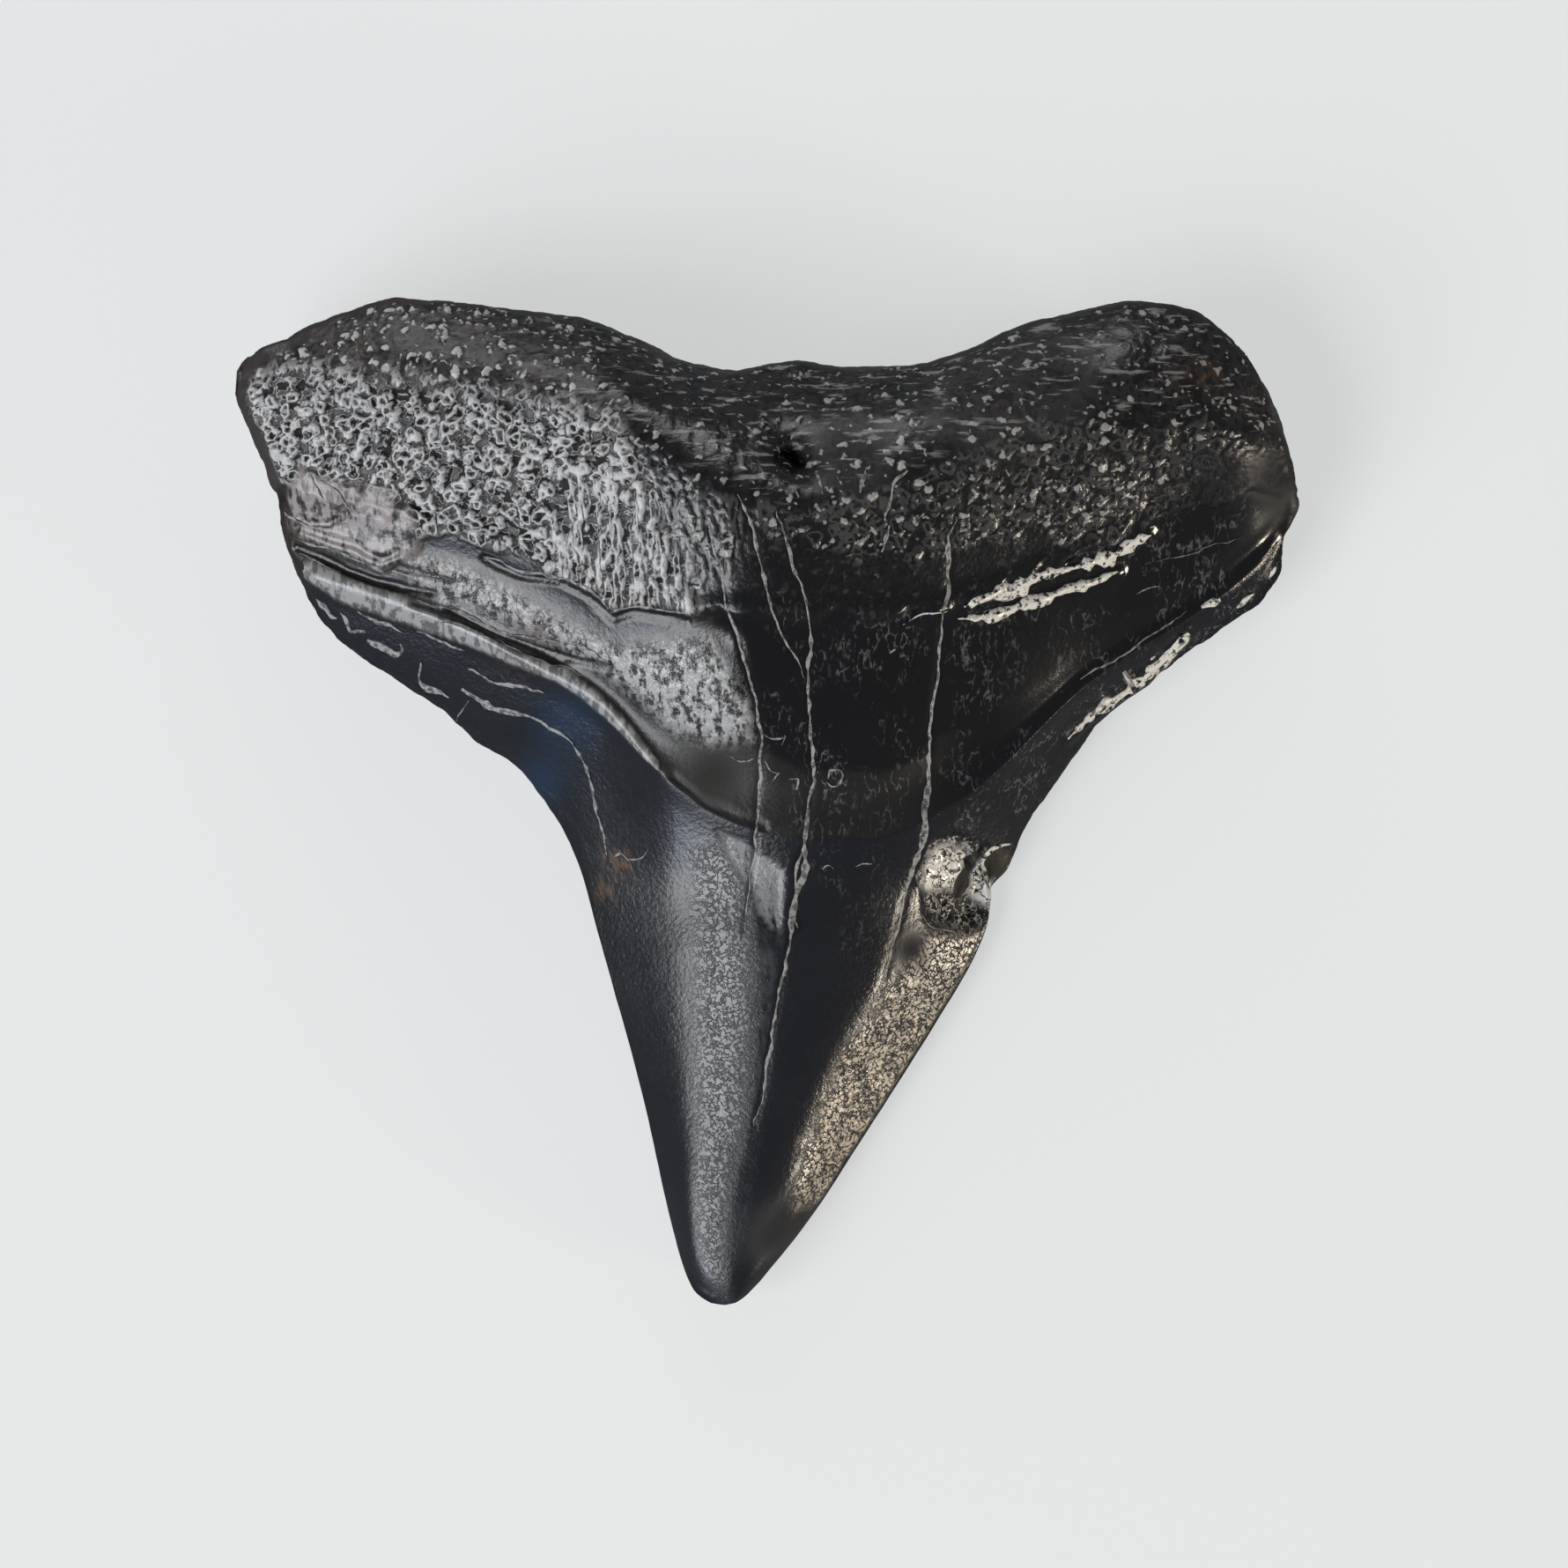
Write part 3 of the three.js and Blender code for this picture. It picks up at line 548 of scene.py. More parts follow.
def regions(x, y, inside, top):
    """How much each point belongs to each region, 0 to 1, fading over spans in millimetres."""
    above_foot = y - enamel_foot(x)
    above_neck = y - root_neck(x)
    ragged = 0.18 * uneven(x, y, 0.5, 3) + 0.08 * uneven(x, y, 0.2, 4)

    # The root and its parts.
    porous = smooth(above_neck + ragged, 0.0, 0.25)
    above_crest = y - root_crest(x) - 0.7 * (1 - smooth(x, -9.4, -7.2))
    crest = smooth(above_crest + ragged, -0.1, 0.5)
    striate = smooth(x, -4.8, -3.9) * (1 - smooth(x, -0.4, 0.6))
    striate = striate * (1 - smooth(above_neck, 2.0, 2.9))
    right = smooth(x - (-3.3 + 0.42 * (8.2 - y)) + ragged, 0, 0.5)
    bare = right * (1 - smooth(y - right_pores_foot(x) + 2 * ragged, -0.2, 0.3))
    end = smooth(x, 7.6, 9.2) * (1 - smooth(y, 6.9, 7.8))
    blob = patch(x, y, SMOOTH_BLOB, 0.16)
    rim_width = mix(0.12, 0.28, 1 - smooth(x, -9.6, -8.6))
    worn_rim = smooth(inside + 0.3 * ragged, rim_width * 0.6, rim_width * 1.1)
    open_root = porous * top * (1 - blob) * worn_rim * (1 - 0.9 * bare) * (1 - 0.8 * end)
    dim = np.clip(crest + right * 0.9, 0, 1)
    density = mix(0.5 - 0.17 * right, 0.27 + 0.2 * (1 - right), crest) * (1 - 0.85 * end)

    # The smooth band.
    band = smooth(above_foot, -0.05, 0.1) * (1 - porous)
    olive_top = mix(0.75, 1.5, smooth(x, -3.2, -0.2)) * smooth(x, -4.6, -3.4)
    olive = (1 - smooth(above_foot - olive_top + ragged, -0.1, 0.1)) * (1 - smooth(x, 2.6, 4.6))
    right_shoulder = smooth(x, 3.4, 4.4) * smooth(y, -1.0, -0.3) * (1 - band) * (1 - 0.8 * porous)
    curled = 0.4 * (bare + right * band) + right_shoulder + 0.8 * spots(x, y, CURLED_SPOTS)
    pink = spots(x, y, PINK_SPOTS) * (1 - smooth(above_neck, 0.8, 1.4))

    # The blade and its chip.
    flank = smooth(middle_height(x, y) - flank_height(x, y) + ragged * 0.8, -0.05, 0.15)
    flank = flank * (1 - smooth(y, -2.9, -2.3)) * smooth(y + ragged, -8.5, -8.1)
    flank = flank * smooth(inside, 0.04, 0.1)
    strip = smooth(x - strip_left(y), -0.1, 0.8) * (1 - smooth(x - strip_right(y), -0.05, 0.25))
    flaky = smooth(uneven(x, y, 0.14, 5) + uneven(x, y, 0.07, 6), -0.2, 0.5)
    cracked = 1 - smooth(distance_to_line(x, y, CHIP_CRACK) + 0.3 * ragged, 0.07, 0.12)
    bite_x, bite_y, bite_radius = BITE
    from_bite = np.hypot(x - bite_x, y - bite_y)
    bite = (1 - smooth(from_bite, 0.85 * bite_radius, bite_radius)) * top
    return {
        "lingual": top,
        "rim_depth": np.clip(inside, 0, 1),
        "porous": porous,
        "band": band,
        "basal": crest,
        "striate": striate,
        "right_side": right,
        "rust": spots(x, y, RUST_MARKS) * flaky,
        "pink": pink,
        "smooth_blob": blob * top * worn_rim,
        "open_root": open_root,
        "back": porous * (1 - top),
        "dim": dim,
        # The open root on its lit left side, where pale pore rims are painted.
        "lined": open_root * (1 - dim),
        "strip": strip * smooth(-y, 0.6, 1.0) * top,
        "olive_strip": band * olive,
        "glitter": sum(patch(x, y, facet, 0.1) for facet in BRIGHT_FACETS) * (1 - cracked),
        "cracked": cracked,
        "dull": spots(x, y, DULL_SPOTS),
        "streaky": mix(0.15, 1.0, smooth(x, -6.0, -3.0)),
        "faint": np.clip(curled, 0, 1) * top,
        "half_light": patch(x, y, HALF_LIGHT, 0.2) * top,
        "bite": bite,
        "blue": spots(x, y, BLUE_REFLECTION_PATCHES),
        "chip": smooth(within_chip(x, y) - ragged * 1.1, 0.04, 0.16) * top * (1 - bite),
        "speck_density": density,
        "flank": flank * top,
        "foot_ridge": ridge_share(x, y, FOOT_RIDGE) * top,
        "neck_shade": bell(above_neck + ragged + 0.12, 0.09) * (1 - smooth(x, -1.0, 0.5)),
        "worn": mix(0.15, 1.0, smooth(y, -2.0, 0.5)),
        "pale_plane": patch(x, y, PALE_PLANE, 0.3) * top,
        "torn": patch(x, y, TORN_PATCH, 0.06) * top,
    }


def ridge_share(x, y, line):
    """1 along the middle of a line of (x, y, half width) points, falling to 0 past its edges."""
    xs, _, halves = np.array(line).T
    half = np.interp(x, xs, halves, left=0.01, right=0.01)
    away = distance_to_line(x, y, [(a, b) for a, b, _ in line])
    return 1 - smooth(away / half, 0.6, 1.5)


def spots(x, y, marks):
    return np.clip(sum(bell(np.hypot(x - a, y - b), r) for a, b, r in marks), 0, 1)


def patch(x, y, outline, fade):
    """1 inside a closed outline and 0 outside it, fading over that distance."""
    inside = np.zeros(np.shape(x), bool)
    for (ax, ay), (bx, by) in zip(outline, outline[1:] + outline[:1]):
        crosses = (ay > y) != (by > y)
        inside ^= crosses & (x < (bx - ax) * (y - ay) / (by - ay + 1e-12) + ax)
    away = distance_to_line(x, y, outline + outline[:1])
    return smooth(np.where(inside, away, -away), -fade, fade)


# ---- Node trees ----
class Wire:
    """A socket that adds the Math nodes of the sums it is used in."""

    def __init__(self, tree, socket):
        self.tree = tree
        self.socket = socket

    def _math(self, operation, *values, clamp=False):
        node = self.tree.nodes.new("ShaderNodeMath")
        node.operation = operation
        node.use_clamp = clamp
        for slot, value in zip(node.inputs, values):
            plug(self.tree, slot, value)
        return Wire(self.tree, node.outputs[0])

    def __add__(self, other):
        return self._math("ADD", self, other)

    def __sub__(self, other):
        return self._math("SUBTRACT", self, other)

    def __mul__(self, other):
        return self._math("MULTIPLY", self, other)

    def __rsub__(self, other):
        return self._math("SUBTRACT", other, self)

    def __gt__(self, other):
        return self._math("GREATER_THAN", self, other)

    __radd__ = __add__
    __rmul__ = __mul__

    def clamped(self):
        return self._math("ADD", self, 0.0, clamp=True)

    def size(self):
        return self._math("ABSOLUTE", self)

    def most(self, other):
        return self._math("MAXIMUM", self, other)


def plug(tree, slot, value):
    """Links a wire or a socket to a node's input, or sets a plain value on it."""
    if isinstance(value, Wire):
        value = value.socket
    if isinstance(value, bpy.types.NodeSocket):
        tree.links.new(value, slot)
    else:
        slot.default_value = value


PORE_SPACING = 0.26
HALVES = (0.5, 0.5, 0.5)
MIX_SOCKETS = {"FLOAT": (2, 3, 0), "RGBA": (6, 7, 2)}  # a Mix node's two inputs and its output
GRAIN_DEPTH = 0.02 * MM  # of the finest grain, which is in the finish alone


class Builder:
    """Adds nodes to one tree."""

    def __init__(self, tree):
        self.tree = tree

    def add(self, kind, settings=None, inputs=None, output=0):
        """One node: its type, its settings, and values or links by input name or number."""
        node = self.tree.nodes.new(kind)
        for name, value in (settings or {}).items():
            setattr(node, name, value)
        for name, value in (inputs or {}).items():
            plug(self.tree, node.inputs[name], value)
        return Wire(self.tree, node.outputs[output]) if node.outputs else None

    def smooth(self, value, start, full):
        return self.add(
            "ShaderNodeMapRange",
            {"interpolation_type": "SMOOTHSTEP"},
            {"Value": value, "From Min": start, "From Max": full},
        )

    def mixed(self, kind, share, a, b):
        from_a, from_b, output = MIX_SOCKETS[kind]
        inputs = {"Factor": share, from_a: a, from_b: b}
        return self.add("ShaderNodeMix", {"data_type": kind}, inputs, output)

    def mix_value(self, share, a, b):
        return self.mixed("FLOAT", share, a, b)

    def mix_colour(self, share, a, b):
        a, b = (shade if isinstance(shade, Wire) else (*shade, 1) for shade in (a, b))
        return self.mixed("RGBA", share, a, b)

    def vector(self, operation, *values):
        node = self.tree.nodes.new("ShaderNodeVectorMath")
        node.operation = operation
        slots = [slot for slot in node.inputs if slot.enabled]
        for slot, value in zip(slots, values):
            plug(self.tree, slot, value)
        outputs = [slot for slot in node.outputs if slot.enabled]
        return Wire(self.tree, outputs[0])

    def noise(self, vector, scale, detail=2.0, roughness=0.5, output=0):
        return self.add(
            "ShaderNodeTexNoise",
            inputs={"Vector": vector, "Scale": scale, "Detail": detail, "Roughness": roughness},
            output=output,
        )

    def stretched(self, vector, factors):
        return self.vector("MULTIPLY", vector, factors)

    def warp(self, place, scale):
        """Uneven offsets to either side of nothing."""
        return self.vector("SUBTRACT", self.noise(place, scale, output="Color"), HALVES)

    def cells(self, vector, output=0):
        """Scattered cells: the distance to the middle of each, its own colour, or its place."""
        inputs = {"Vector": vector, "Scale": 1.0}
        return self.add("ShaderNodeTexVoronoi", inputs=inputs, output=output)

    def scaled(self, vector, factor):
        return self.vector("SCALE", vector, factor)

    def bump(self, strength, height):
        inputs = {"Strength": strength, "Distance": GRAIN_DEPTH, "Height": height}
        return self.add("ShaderNodeBump", inputs=inputs)

    def pores(self, place, striate):
        """Loops of bone with a pore in each, drawn out lengthwise where it is striate."""
        bend = self.warp(place, 3.0)
        warped = self.vector("ADD", place, self.scaled(bend, 0.42))
        straighter = self.vector("ADD", place, self.scaled(bend, 0.14))
        round_cells = self.cells(self.scaled(warped, 1 / PORE_SPACING))
        long_cells = self.cells(self.stretched(straighter, (7.0, 1.0, 3.0)))
        fine = self.noise(warped, 5.0) - 0.5
        reach = self.mix_value(striate, round_cells, long_cells) + fine * 0.3
        loop = self.smooth(reach, 0.27, 0.37) * (1 - self.smooth(reach, 0.5, 0.6))
        pit = 1 - self.smooth(reach, 0.16, 0.3)
        gap = self.smooth(reach, 0.55, 0.68)
        return loop, pit, gap, fine

    def facets(self, place, scale):
        """Flat facets, each tilted its own way."""
        spread = self.scaled(place, scale)
        tilt = self.vector("SUBTRACT", self.cells(spread, "Color"), HALVES)
        away = self.vector("SUBTRACT", spread, self.cells(spread, "Position"))
        return self.vector("DOT_PRODUCT", tilt, away)

    def specks(self, place, density):
        """Grains of mineral, large and small, scattered so that each cell has its own chance."""
        warped = self.vector("ADD", place, self.scaled(self.warp(place, 5.0), 0.3))

        def grains(cells_per_mm):
            spread = self.stretched(warped, cells_per_mm)
            inputs = {"Vector": self.cells(spread, "Color")}
            chance = self.add("ShaderNodeSeparateXYZ", inputs=inputs)
            return (1 - self.smooth(self.cells(spread), 0.24, 0.36)) * (density > chance)

        return grains((3.4, 4.4, 3.4)).most(grains((6.4, 7.2, 6.4)) * 0.8)


def layered(mixed, base, layers):
    """Mixes (share, colour or value) layers over a base, one after the other."""
    for share, layer in layers:
        base = mixed(share, base, layer)
    return base


SOCKET_KINDS = {"Material": "NodeSocketMaterial", "Lines": "NodeSocketObject"}


class SurfaceTree(Builder):
    """A Geometry Nodes tree that carries a mesh through, with a material and named inputs."""

    def __init__(self, name, *inputs):
        super().__init__(bpy.data.node_groups.new(name, "GeometryNodeTree"))
        face = self.tree.interface
        face.new_socket("Geometry", in_out="INPUT", socket_type="NodeSocketGeometry")
        face.new_socket("Geometry", in_out="OUTPUT", socket_type="NodeSocketGeometry")
        self.identifiers = {}
        for label in ("Material", *inputs):
            kind = SOCKET_KINDS.get(label, "NodeSocketFloat")
            item = face.new_socket(label, in_out="INPUT", socket_type=kind)
            self.identifiers[label] = item.identifier
        self.group_in = self.tree.nodes.new("NodeGroupInput")
        self.group_out = self.tree.nodes.new("NodeGroupOutput")
        self.geometry = self.group_in.outputs["Geometry"]
        self.place = self.named("place", "FLOAT_VECTOR")

    def value(self, label):
        return Wire(self.tree, self.group_in.outputs[label])

    def named(self, name, kind="FLOAT"):
        node = self.tree.nodes.new("GeometryNodeInputNamedAttribute")
        node.data_type = kind
        node.inputs["Name"].default_value = name
        return Wire(self.tree, next(slot for slot in node.outputs if slot.enabled))

    def store(self, name, value):
        stored = self.add(
            "GeometryNodeStoreNamedAttribute",
            {"data_type": "FLOAT", "domain": "POINT"},
            {"Geometry": self.geometry, "Name": name, "Value": value},
        )
        self.geometry = stored.socket

    def push_out(self, distance):
        """Moves each point along its normal."""
        offset = self.scaled(self.add("GeometryNodeInputNormal"), distance)
        inputs = {"Geometry": self.geometry, "Offset": offset}
        self.geometry = self.add("GeometryNodeSetPosition", inputs=inputs).socket

    def finish(self):
        whole = self.add("GeometryNodeRealizeInstances", inputs={"Geometry": self.geometry})
        inputs = {"Geometry": whole, "Material": self.value("Material")}
        dressed = self.add("GeometryNodeSetMaterial", inputs=inputs)
        self.tree.links.new(dressed.socket, self.group_out.inputs["Geometry"])


def shape_with(piece, surface, material, values):
    """Runs a Geometry Nodes tree over a piece and keeps the result as its plain mesh."""
    modifier = piece.modifiers.new(surface.tree.name, "NODES")
    modifier.node_group = surface.tree
    for label, value in {"Material": material, **values}.items():
        modifier[surface.identifiers[label]] = value
    bpy.context.view_layer.update()
    evaluated = piece.evaluated_get(bpy.context.evaluated_depsgraph_get())
    before = piece.data
    piece.data = bpy.data.meshes.new_from_object(evaluated)
    piece.modifiers.remove(modifier)
    bpy.data.meshes.remove(before)
    piece.data.name = piece.name


# ---- Lines over the lingual face: (x, y, half width) in millimetres ----
# Grooves that mineral has filled again.
CRACK_FILLINGS = [
    [(0.17, 6.02, 0.02), (0.37, 5.34, 0.05), (0.59, 4.66, 0.04), (0.76, 3.93, 0.04),
     (0.83, 3.26, 0.05), (0.8, 2.38, 0.04), (0.83, 1.55, 0.05), (0.89, 0.95, 0.05),
     (0.87, 0.27, 0.04), (0.76, -0.44, 0.06), (0.74, -1.12, 0.1), (0.56, -1.96, 0.085),
     (0.34, -3.16, 0.05), (0.1, -4.37, 0.05), (-0.12, -5.74, 0.035), (-0.32, -6.66, 0.012)],
    [(3.83, 5.89, 0.02), (3.66, 5.49, 0.05), (3.67, 4.66, 0.06), (3.56, 3.93, 0.045),
     (3.47, 2.91, 0.035), (3.32, 1.7, 0.04), (3.28, 0.68, 0.07), (3.23, -0.13, 0.1),
     (3.17, -0.73, 0.1), (3.03, -1.26, 0.07), (2.79, -1.96, 0.05), (2.5, -3.16, 0.04),
     (2.3, -3.84, 0.01)],
    [(-1.31, 6.02, 0.02), (-1.03, 4.94, 0.045), (-0.83, 4.06, 0.04), (-0.56, 3.26, 0.045),
     (-0.36, 2.51, 0.035), (-0.19, 1.7, 0.04), (-0.16, 0.95, 0.045), (-0.23, 0.2, 0.05),
     (-0.28, -0.75, 0.04), (-0.43, -1.79, 0.03), (-0.54, -2.56, 0.01)],
    [(-0.63, 6.36, 0.02), (-0.36, 5.76, 0.06), (-0.16, 4.94, 0.05), (0.01, 4.26, 0.045),
     (0.25, 3.58, 0.035), (0.52, 3.05, 0.03), (0.69, 2.63, 0.012)],
    [(0.66, -0.9, 0.02), (0.52, -1.3, 0.04), (0.58, -1.75, 0.04), (0.46, -2.1, 0.03),
     (0.62, -2.5, 0.015)],
]
# Worn growth lines of the band and curled flakes of the enamel, and a pale line painted as the
# highlight on the edge of the step to the root.
PALE_LINES = [
    [(-10.07, 6.15, 0.02), (-9.83, 5.94, 0.045), (-9.55, 5.82, 0.04), (-9.27, 5.77, 0.045),
     (-8.92, 5.89, 0.03), (-8.64, 6.01, 0.01)],
    [(-9.58, 7.02, 0.01), (-9.48, 6.81, 0.025), (-9.34, 6.57, 0.03), (-9.23, 6.36, 0.01)],
    [(-9.27, 6.75, 0.01), (-8.92, 6.47, 0.03), (-8.71, 6.22, 0.03), (-8.6, 6.08, 0.01)],
    [(-9.81, 5.57, 0.02), (-9.51, 5.44, 0.05), (-9.06, 5.34, 0.04), (-8.57, 5.13, 0.045),
     (-8.25, 4.99, 0.04), (-8.01, 4.87, 0.035), (-7.52, 4.78, 0.02)],
    [(-9.79, 5.24, 0.01), (-9.44, 5.08, 0.03), (-9.09, 4.95, 0.01)],
    [(-9.48, 4.3, 0.03), (-9.3, 4.12, 0.1), (-9.16, 3.95, 0.09), (-9.02, 3.91, 0.03)],
    [(-8.95, 4.03, 0.03), (-8.85, 3.84, 0.08), (-8.74, 3.63, 0.08), (-8.43, 3.68, 0.05)],
    [(-7.32, 4.26, 0.01), (-6.36, 4.01, 0.03), (-5.18, 3.51, 0.03), (-4.01, 3.33, 0.03),
     (-3.21, 2.87, 0.01)],
    [(-6.78, 3.82, 0.01), (-5.68, 3.46, 0.02), (-4.58, 3.0, 0.02), (-3.85, 2.72, 0.01)],
    [(-8.39, 3.46, 0.05), (-8.06, 3.31, 0.1), (-7.78, 3.18, 0.08), (-7.65, 3.27, 0.04),
     (-7.69, 3.38, 0.02)],
    [(-7.29, 3.0, 0.02), (-7.32, 2.72, 0.06), (-7.14, 2.45, 0.11), (-6.92, 2.36, 0.08),
     (-6.7, 2.25, 0.03)],
    [(-6.41, 2.45, 0.04), (-5.95, 2.14, 0.11), (-5.5, 1.99, 0.08), (-4.95, 1.85, 0.045),
     (-4.49, 1.59, 0.045), (-4.12, 1.3, 0.05), (-3.85, 0.9, 0.05), (-3.7, 0.35, 0.05),
     (-3.58, -0.2, 0.055), (-3.45, -0.66, 0.04), (-3.39, -1.02, 0.02)],
    [(-6.23, 2.18, 0.02), (-6.41, 1.99, 0.02), (-6.56, 1.77, 0.01)],
    [(-6.23, 2.91, 0.02), (-5.68, 2.58, 0.06), (-5.13, 2.45, 0.05), (-4.67, 2.36, 0.02)],
    [(-8.6, 4.01, 0.02), (-8.06, 3.82, 0.06), (-7.6, 3.6, 0.02)],
    [(-7.32, 3.64, 0.02), (-6.78, 3.42, 0.05), (-6.32, 3.24, 0.02)],
    [(-3.29, -1.04, 0.02), (-3.12, -0.98, 0.035), (-2.94, -1.14, 0.03), (-2.73, -1.1, 0.02),
     (-2.52, -0.86, 0.01)],
    # Along the top of the step to the root: a pale line painted as the highlight on its edge.
    [(-5.88, 5.18, 0.02), (-5.17, 4.86, 0.05), (-4.27, 4.7, 0.04), (-3.6, 4.36, 0.05),
     (-3.2, 4.0, 0.04), (-2.75, 4.1, 0.05), (-1.67, 3.9, 0.02)],
    [(3.21, -2.21, 0.01), (3.39, -2.47, 0.02), (3.74, -2.58, 0.03), (4.11, -2.74, 0.02),
     (4.38, -2.62, 0.02), (4.53, -2.43, 0.01)],
    [(6.43, 2.67, 0.01), (6.94, 2.94, 0.03), (7.67, 3.36, 0.03), (8.31, 3.82, 0.02),
     (8.68, 4.04, 0.01)],
    [(1.12, 6.38, 0.02), (1.01, 6.66, 0.05), (0.92, 6.84, 0.02)],
    [(1.86, 6.38, 0.02), (1.89, 6.66, 0.06), (1.95, 6.88, 0.02)],
    [(2.39, 5.83, 0.02), (2.42, 6.2, 0.05), (2.55, 6.57, 0.05), (2.81, 6.86, 0.03)],
    [(2.3, 5.19, 0.02), (2.39, 5.47, 0.075), (2.44, 5.74, 0.03)],
    [(1.1, -1.3, 0.02), (1.22, -1.22, 0.03), (1.33, -1.28, 0.02)],
    [(-0.86, 1.09, 0.01), (-0.54, 0.9, 0.03), (-0.29, 0.99, 0.01)],
    [(-0.1, 0.93, 0.02), (0.03, 0.74, 0.03), (0.22, 0.68, 0.03), (0.09, 0.49, 0.02)],
    [(0.41, 0.61, 0.02), (0.6, 0.58, 0.03), (0.54, 0.36, 0.02)],
    [(1.2, 0.58, 0.02), (1.27, 0.73, 0.04), (1.4, 0.74, 0.04), (1.48, 0.62, 0.04),
     (1.43, 0.49, 0.04), (1.3, 0.45, 0.03), (1.21, 0.54, 0.01)],
    [(-0.16, 1.5, 0.02), (0.09, 1.41, 0.03), (0.35, 1.47, 0.03), (0.28, 1.25, 0.02)],
    [(1.78, -1.24, 0.015), (1.95, -1.18, 0.03), (2.12, -1.2, 0.015)],
    [(7.59, 4.43, 0.01), (7.83, 4.52, 0.03), (8.07, 4.58, 0.01)],
    [(8.0, 5.1, 0.01), (8.8, 5.28, 0.015), (9.8, 5.58, 0.01)],
    [(2.45, 3.15, 0.02), (2.52, 3.2, 0.06), (2.6, 3.24, 0.02)],
]
# Dark open seams of the band, and a dark groove under the step to the root that is painted shadow:
# (x, y) alone.
SEAMS_AND_STEP_SHADOW = [
    [(-9.79, 5.98), (-9.55, 5.86), (-9.16, 5.85), (-8.85, 6.01), (-8.69, 6.19)],
    [(-9.79, 5.8), (-9.34, 5.63), (-8.92, 5.49), (-8.57, 5.4), (-8.36, 5.24), (-8.04, 5.1),
     (-7.69, 5.24)],
    [(-9.83, 5.38), (-9.27, 5.15), (-8.78, 4.89), (-8.22, 4.68), (-7.52, 4.51), (-6.94, 4.43)],
    [(-6.65, 4.06), (-5.53, 3.49), (-4.69, 3.22), (-3.92, 3.0), (-3.28, 2.87)],
    [(-7.4, 4.2), (-6.3, 3.85), (-5.3, 3.32), (-4.3, 2.98)],
    # Under the step to the root: a dark groove painted as its shadow.
    [(-5.88, 5.1), (-5.17, 4.75), (-4.27, 4.61), (-3.63, 4.26), (-3.21, 3.84), (-2.79, 3.99),
     (-1.67, 3.79)],
    [(-7.7, 4.96), (-7.0, 4.76), (-6.55, 4.66)],
    [(-2.0, 0.62), (-1.3, 0.05), (-0.6, -0.25), (-0.1, -0.4)],
]
# Ridges and beads that stand out of the dark side; their pale colour is a painted glint.
GLOSSY_RIDGES = [
    [(3.98, 4.12, 0.03), (4.42, 4.27, 0.2), (4.98, 4.46, 0.24), (5.45, 4.66, 0.2),
     (6.09, 4.84, 0.16), (6.64, 5.0, 0.16), (7.12, 5.2, 0.21), (7.51, 5.43, 0.18),
     (7.88, 5.6, 0.03)],
    [(3.87, 3.84, 0.03), (4.26, 3.88, 0.16), (4.6, 3.92, 0.16), (5.0, 4.08, 0.18),
     (5.47, 4.2, 0.2), (6.03, 4.44, 0.18), (6.5, 4.58, 0.14), (6.9, 4.7, 0.11),
     (7.2, 4.84, 0.02)],
    [(2.73, 3.73, 0.01), (3.19, 3.93, 0.03), (3.65, 4.01, 0.01)],
    [(6.21, 1.41, 0.04), (6.67, 1.85, 0.15), (7.12, 2.18, 0.22), (7.67, 2.54, 0.2),
     (8.22, 3.05, 0.24), (8.73, 3.6, 0.13)],
    [(8.99, 4.11, 0.05), (9.21, 4.19, 0.11), (9.39, 4.26, 0.05)],
    [(9.77, 4.11, 0.05), (9.96, 4.28, 0.1), (10.12, 4.41, 0.05)],
    [(10.42, 4.75, 0.05), (10.52, 4.85, 0.08), (10.58, 4.98, 0.04)],
    [(5.04, -0.76, 0.02), (4.88, -0.8, 0.05), (4.68, -0.91, 0.06), (4.5, -1.04, 0.07),
     (4.44, -1.18, 0.08), (4.47, -1.36, 0.08), (4.55, -1.56, 0.08), (4.62, -1.72, 0.03)],
]
LEDGES = GLOSSY_RIDGES[:4]  # the long ones, which the surface rises to meet


def line_object(name, lines):
    """Open lines of points on the table, for a node tree to follow."""
    points, edges = [], []
    for line in lines:
        first = len(points)
        points += [(x * MM, y * MM, 0) for x, y, *_ in line]
        edges += [(first + i, first + i + 1) for i in range(len(line) - 1)]
    mesh = bpy.data.meshes.new(name)
    mesh.from_pydata(points, edges, [])
    guide = bpy.data.objects.new(name, mesh)
    bpy.context.scene.collection.objects.link(guide)
    return guide


def discard(guide):
    mesh = guide.data
    bpy.data.objects.remove(guide)
    bpy.data.meshes.remove(mesh)


VEIN_STEP = 0.035
VEIN_SECTION = [(-1, -0.6), (-0.7, 0.7), (0, 1), (0.7, 0.7), (1, -0.6)]  # across, up
VEIN_WANDER = [(0.4, 0.045), (0.13, 0.018)]  # lump length and sideways reach of the wander
HIGH_ABOVE, HALF_WAY_UP = 20, 2  # where the search for the surface under a vein starts


def along(line):
    """Points every VEIN_STEP along a line: how far along, and columns x, y and half width."""
    line = np.array(line, float)
    length = np.append(0, np.cumsum(np.hypot(*np.diff(line[:, :2], axis=0).T)))
    at = np.linspace(0, length[-1], max(3, round(length[-1] / VEIN_STEP)))
    return at, np.column_stack([curve_through(list(zip(length, column)))(at) for column in line.T])


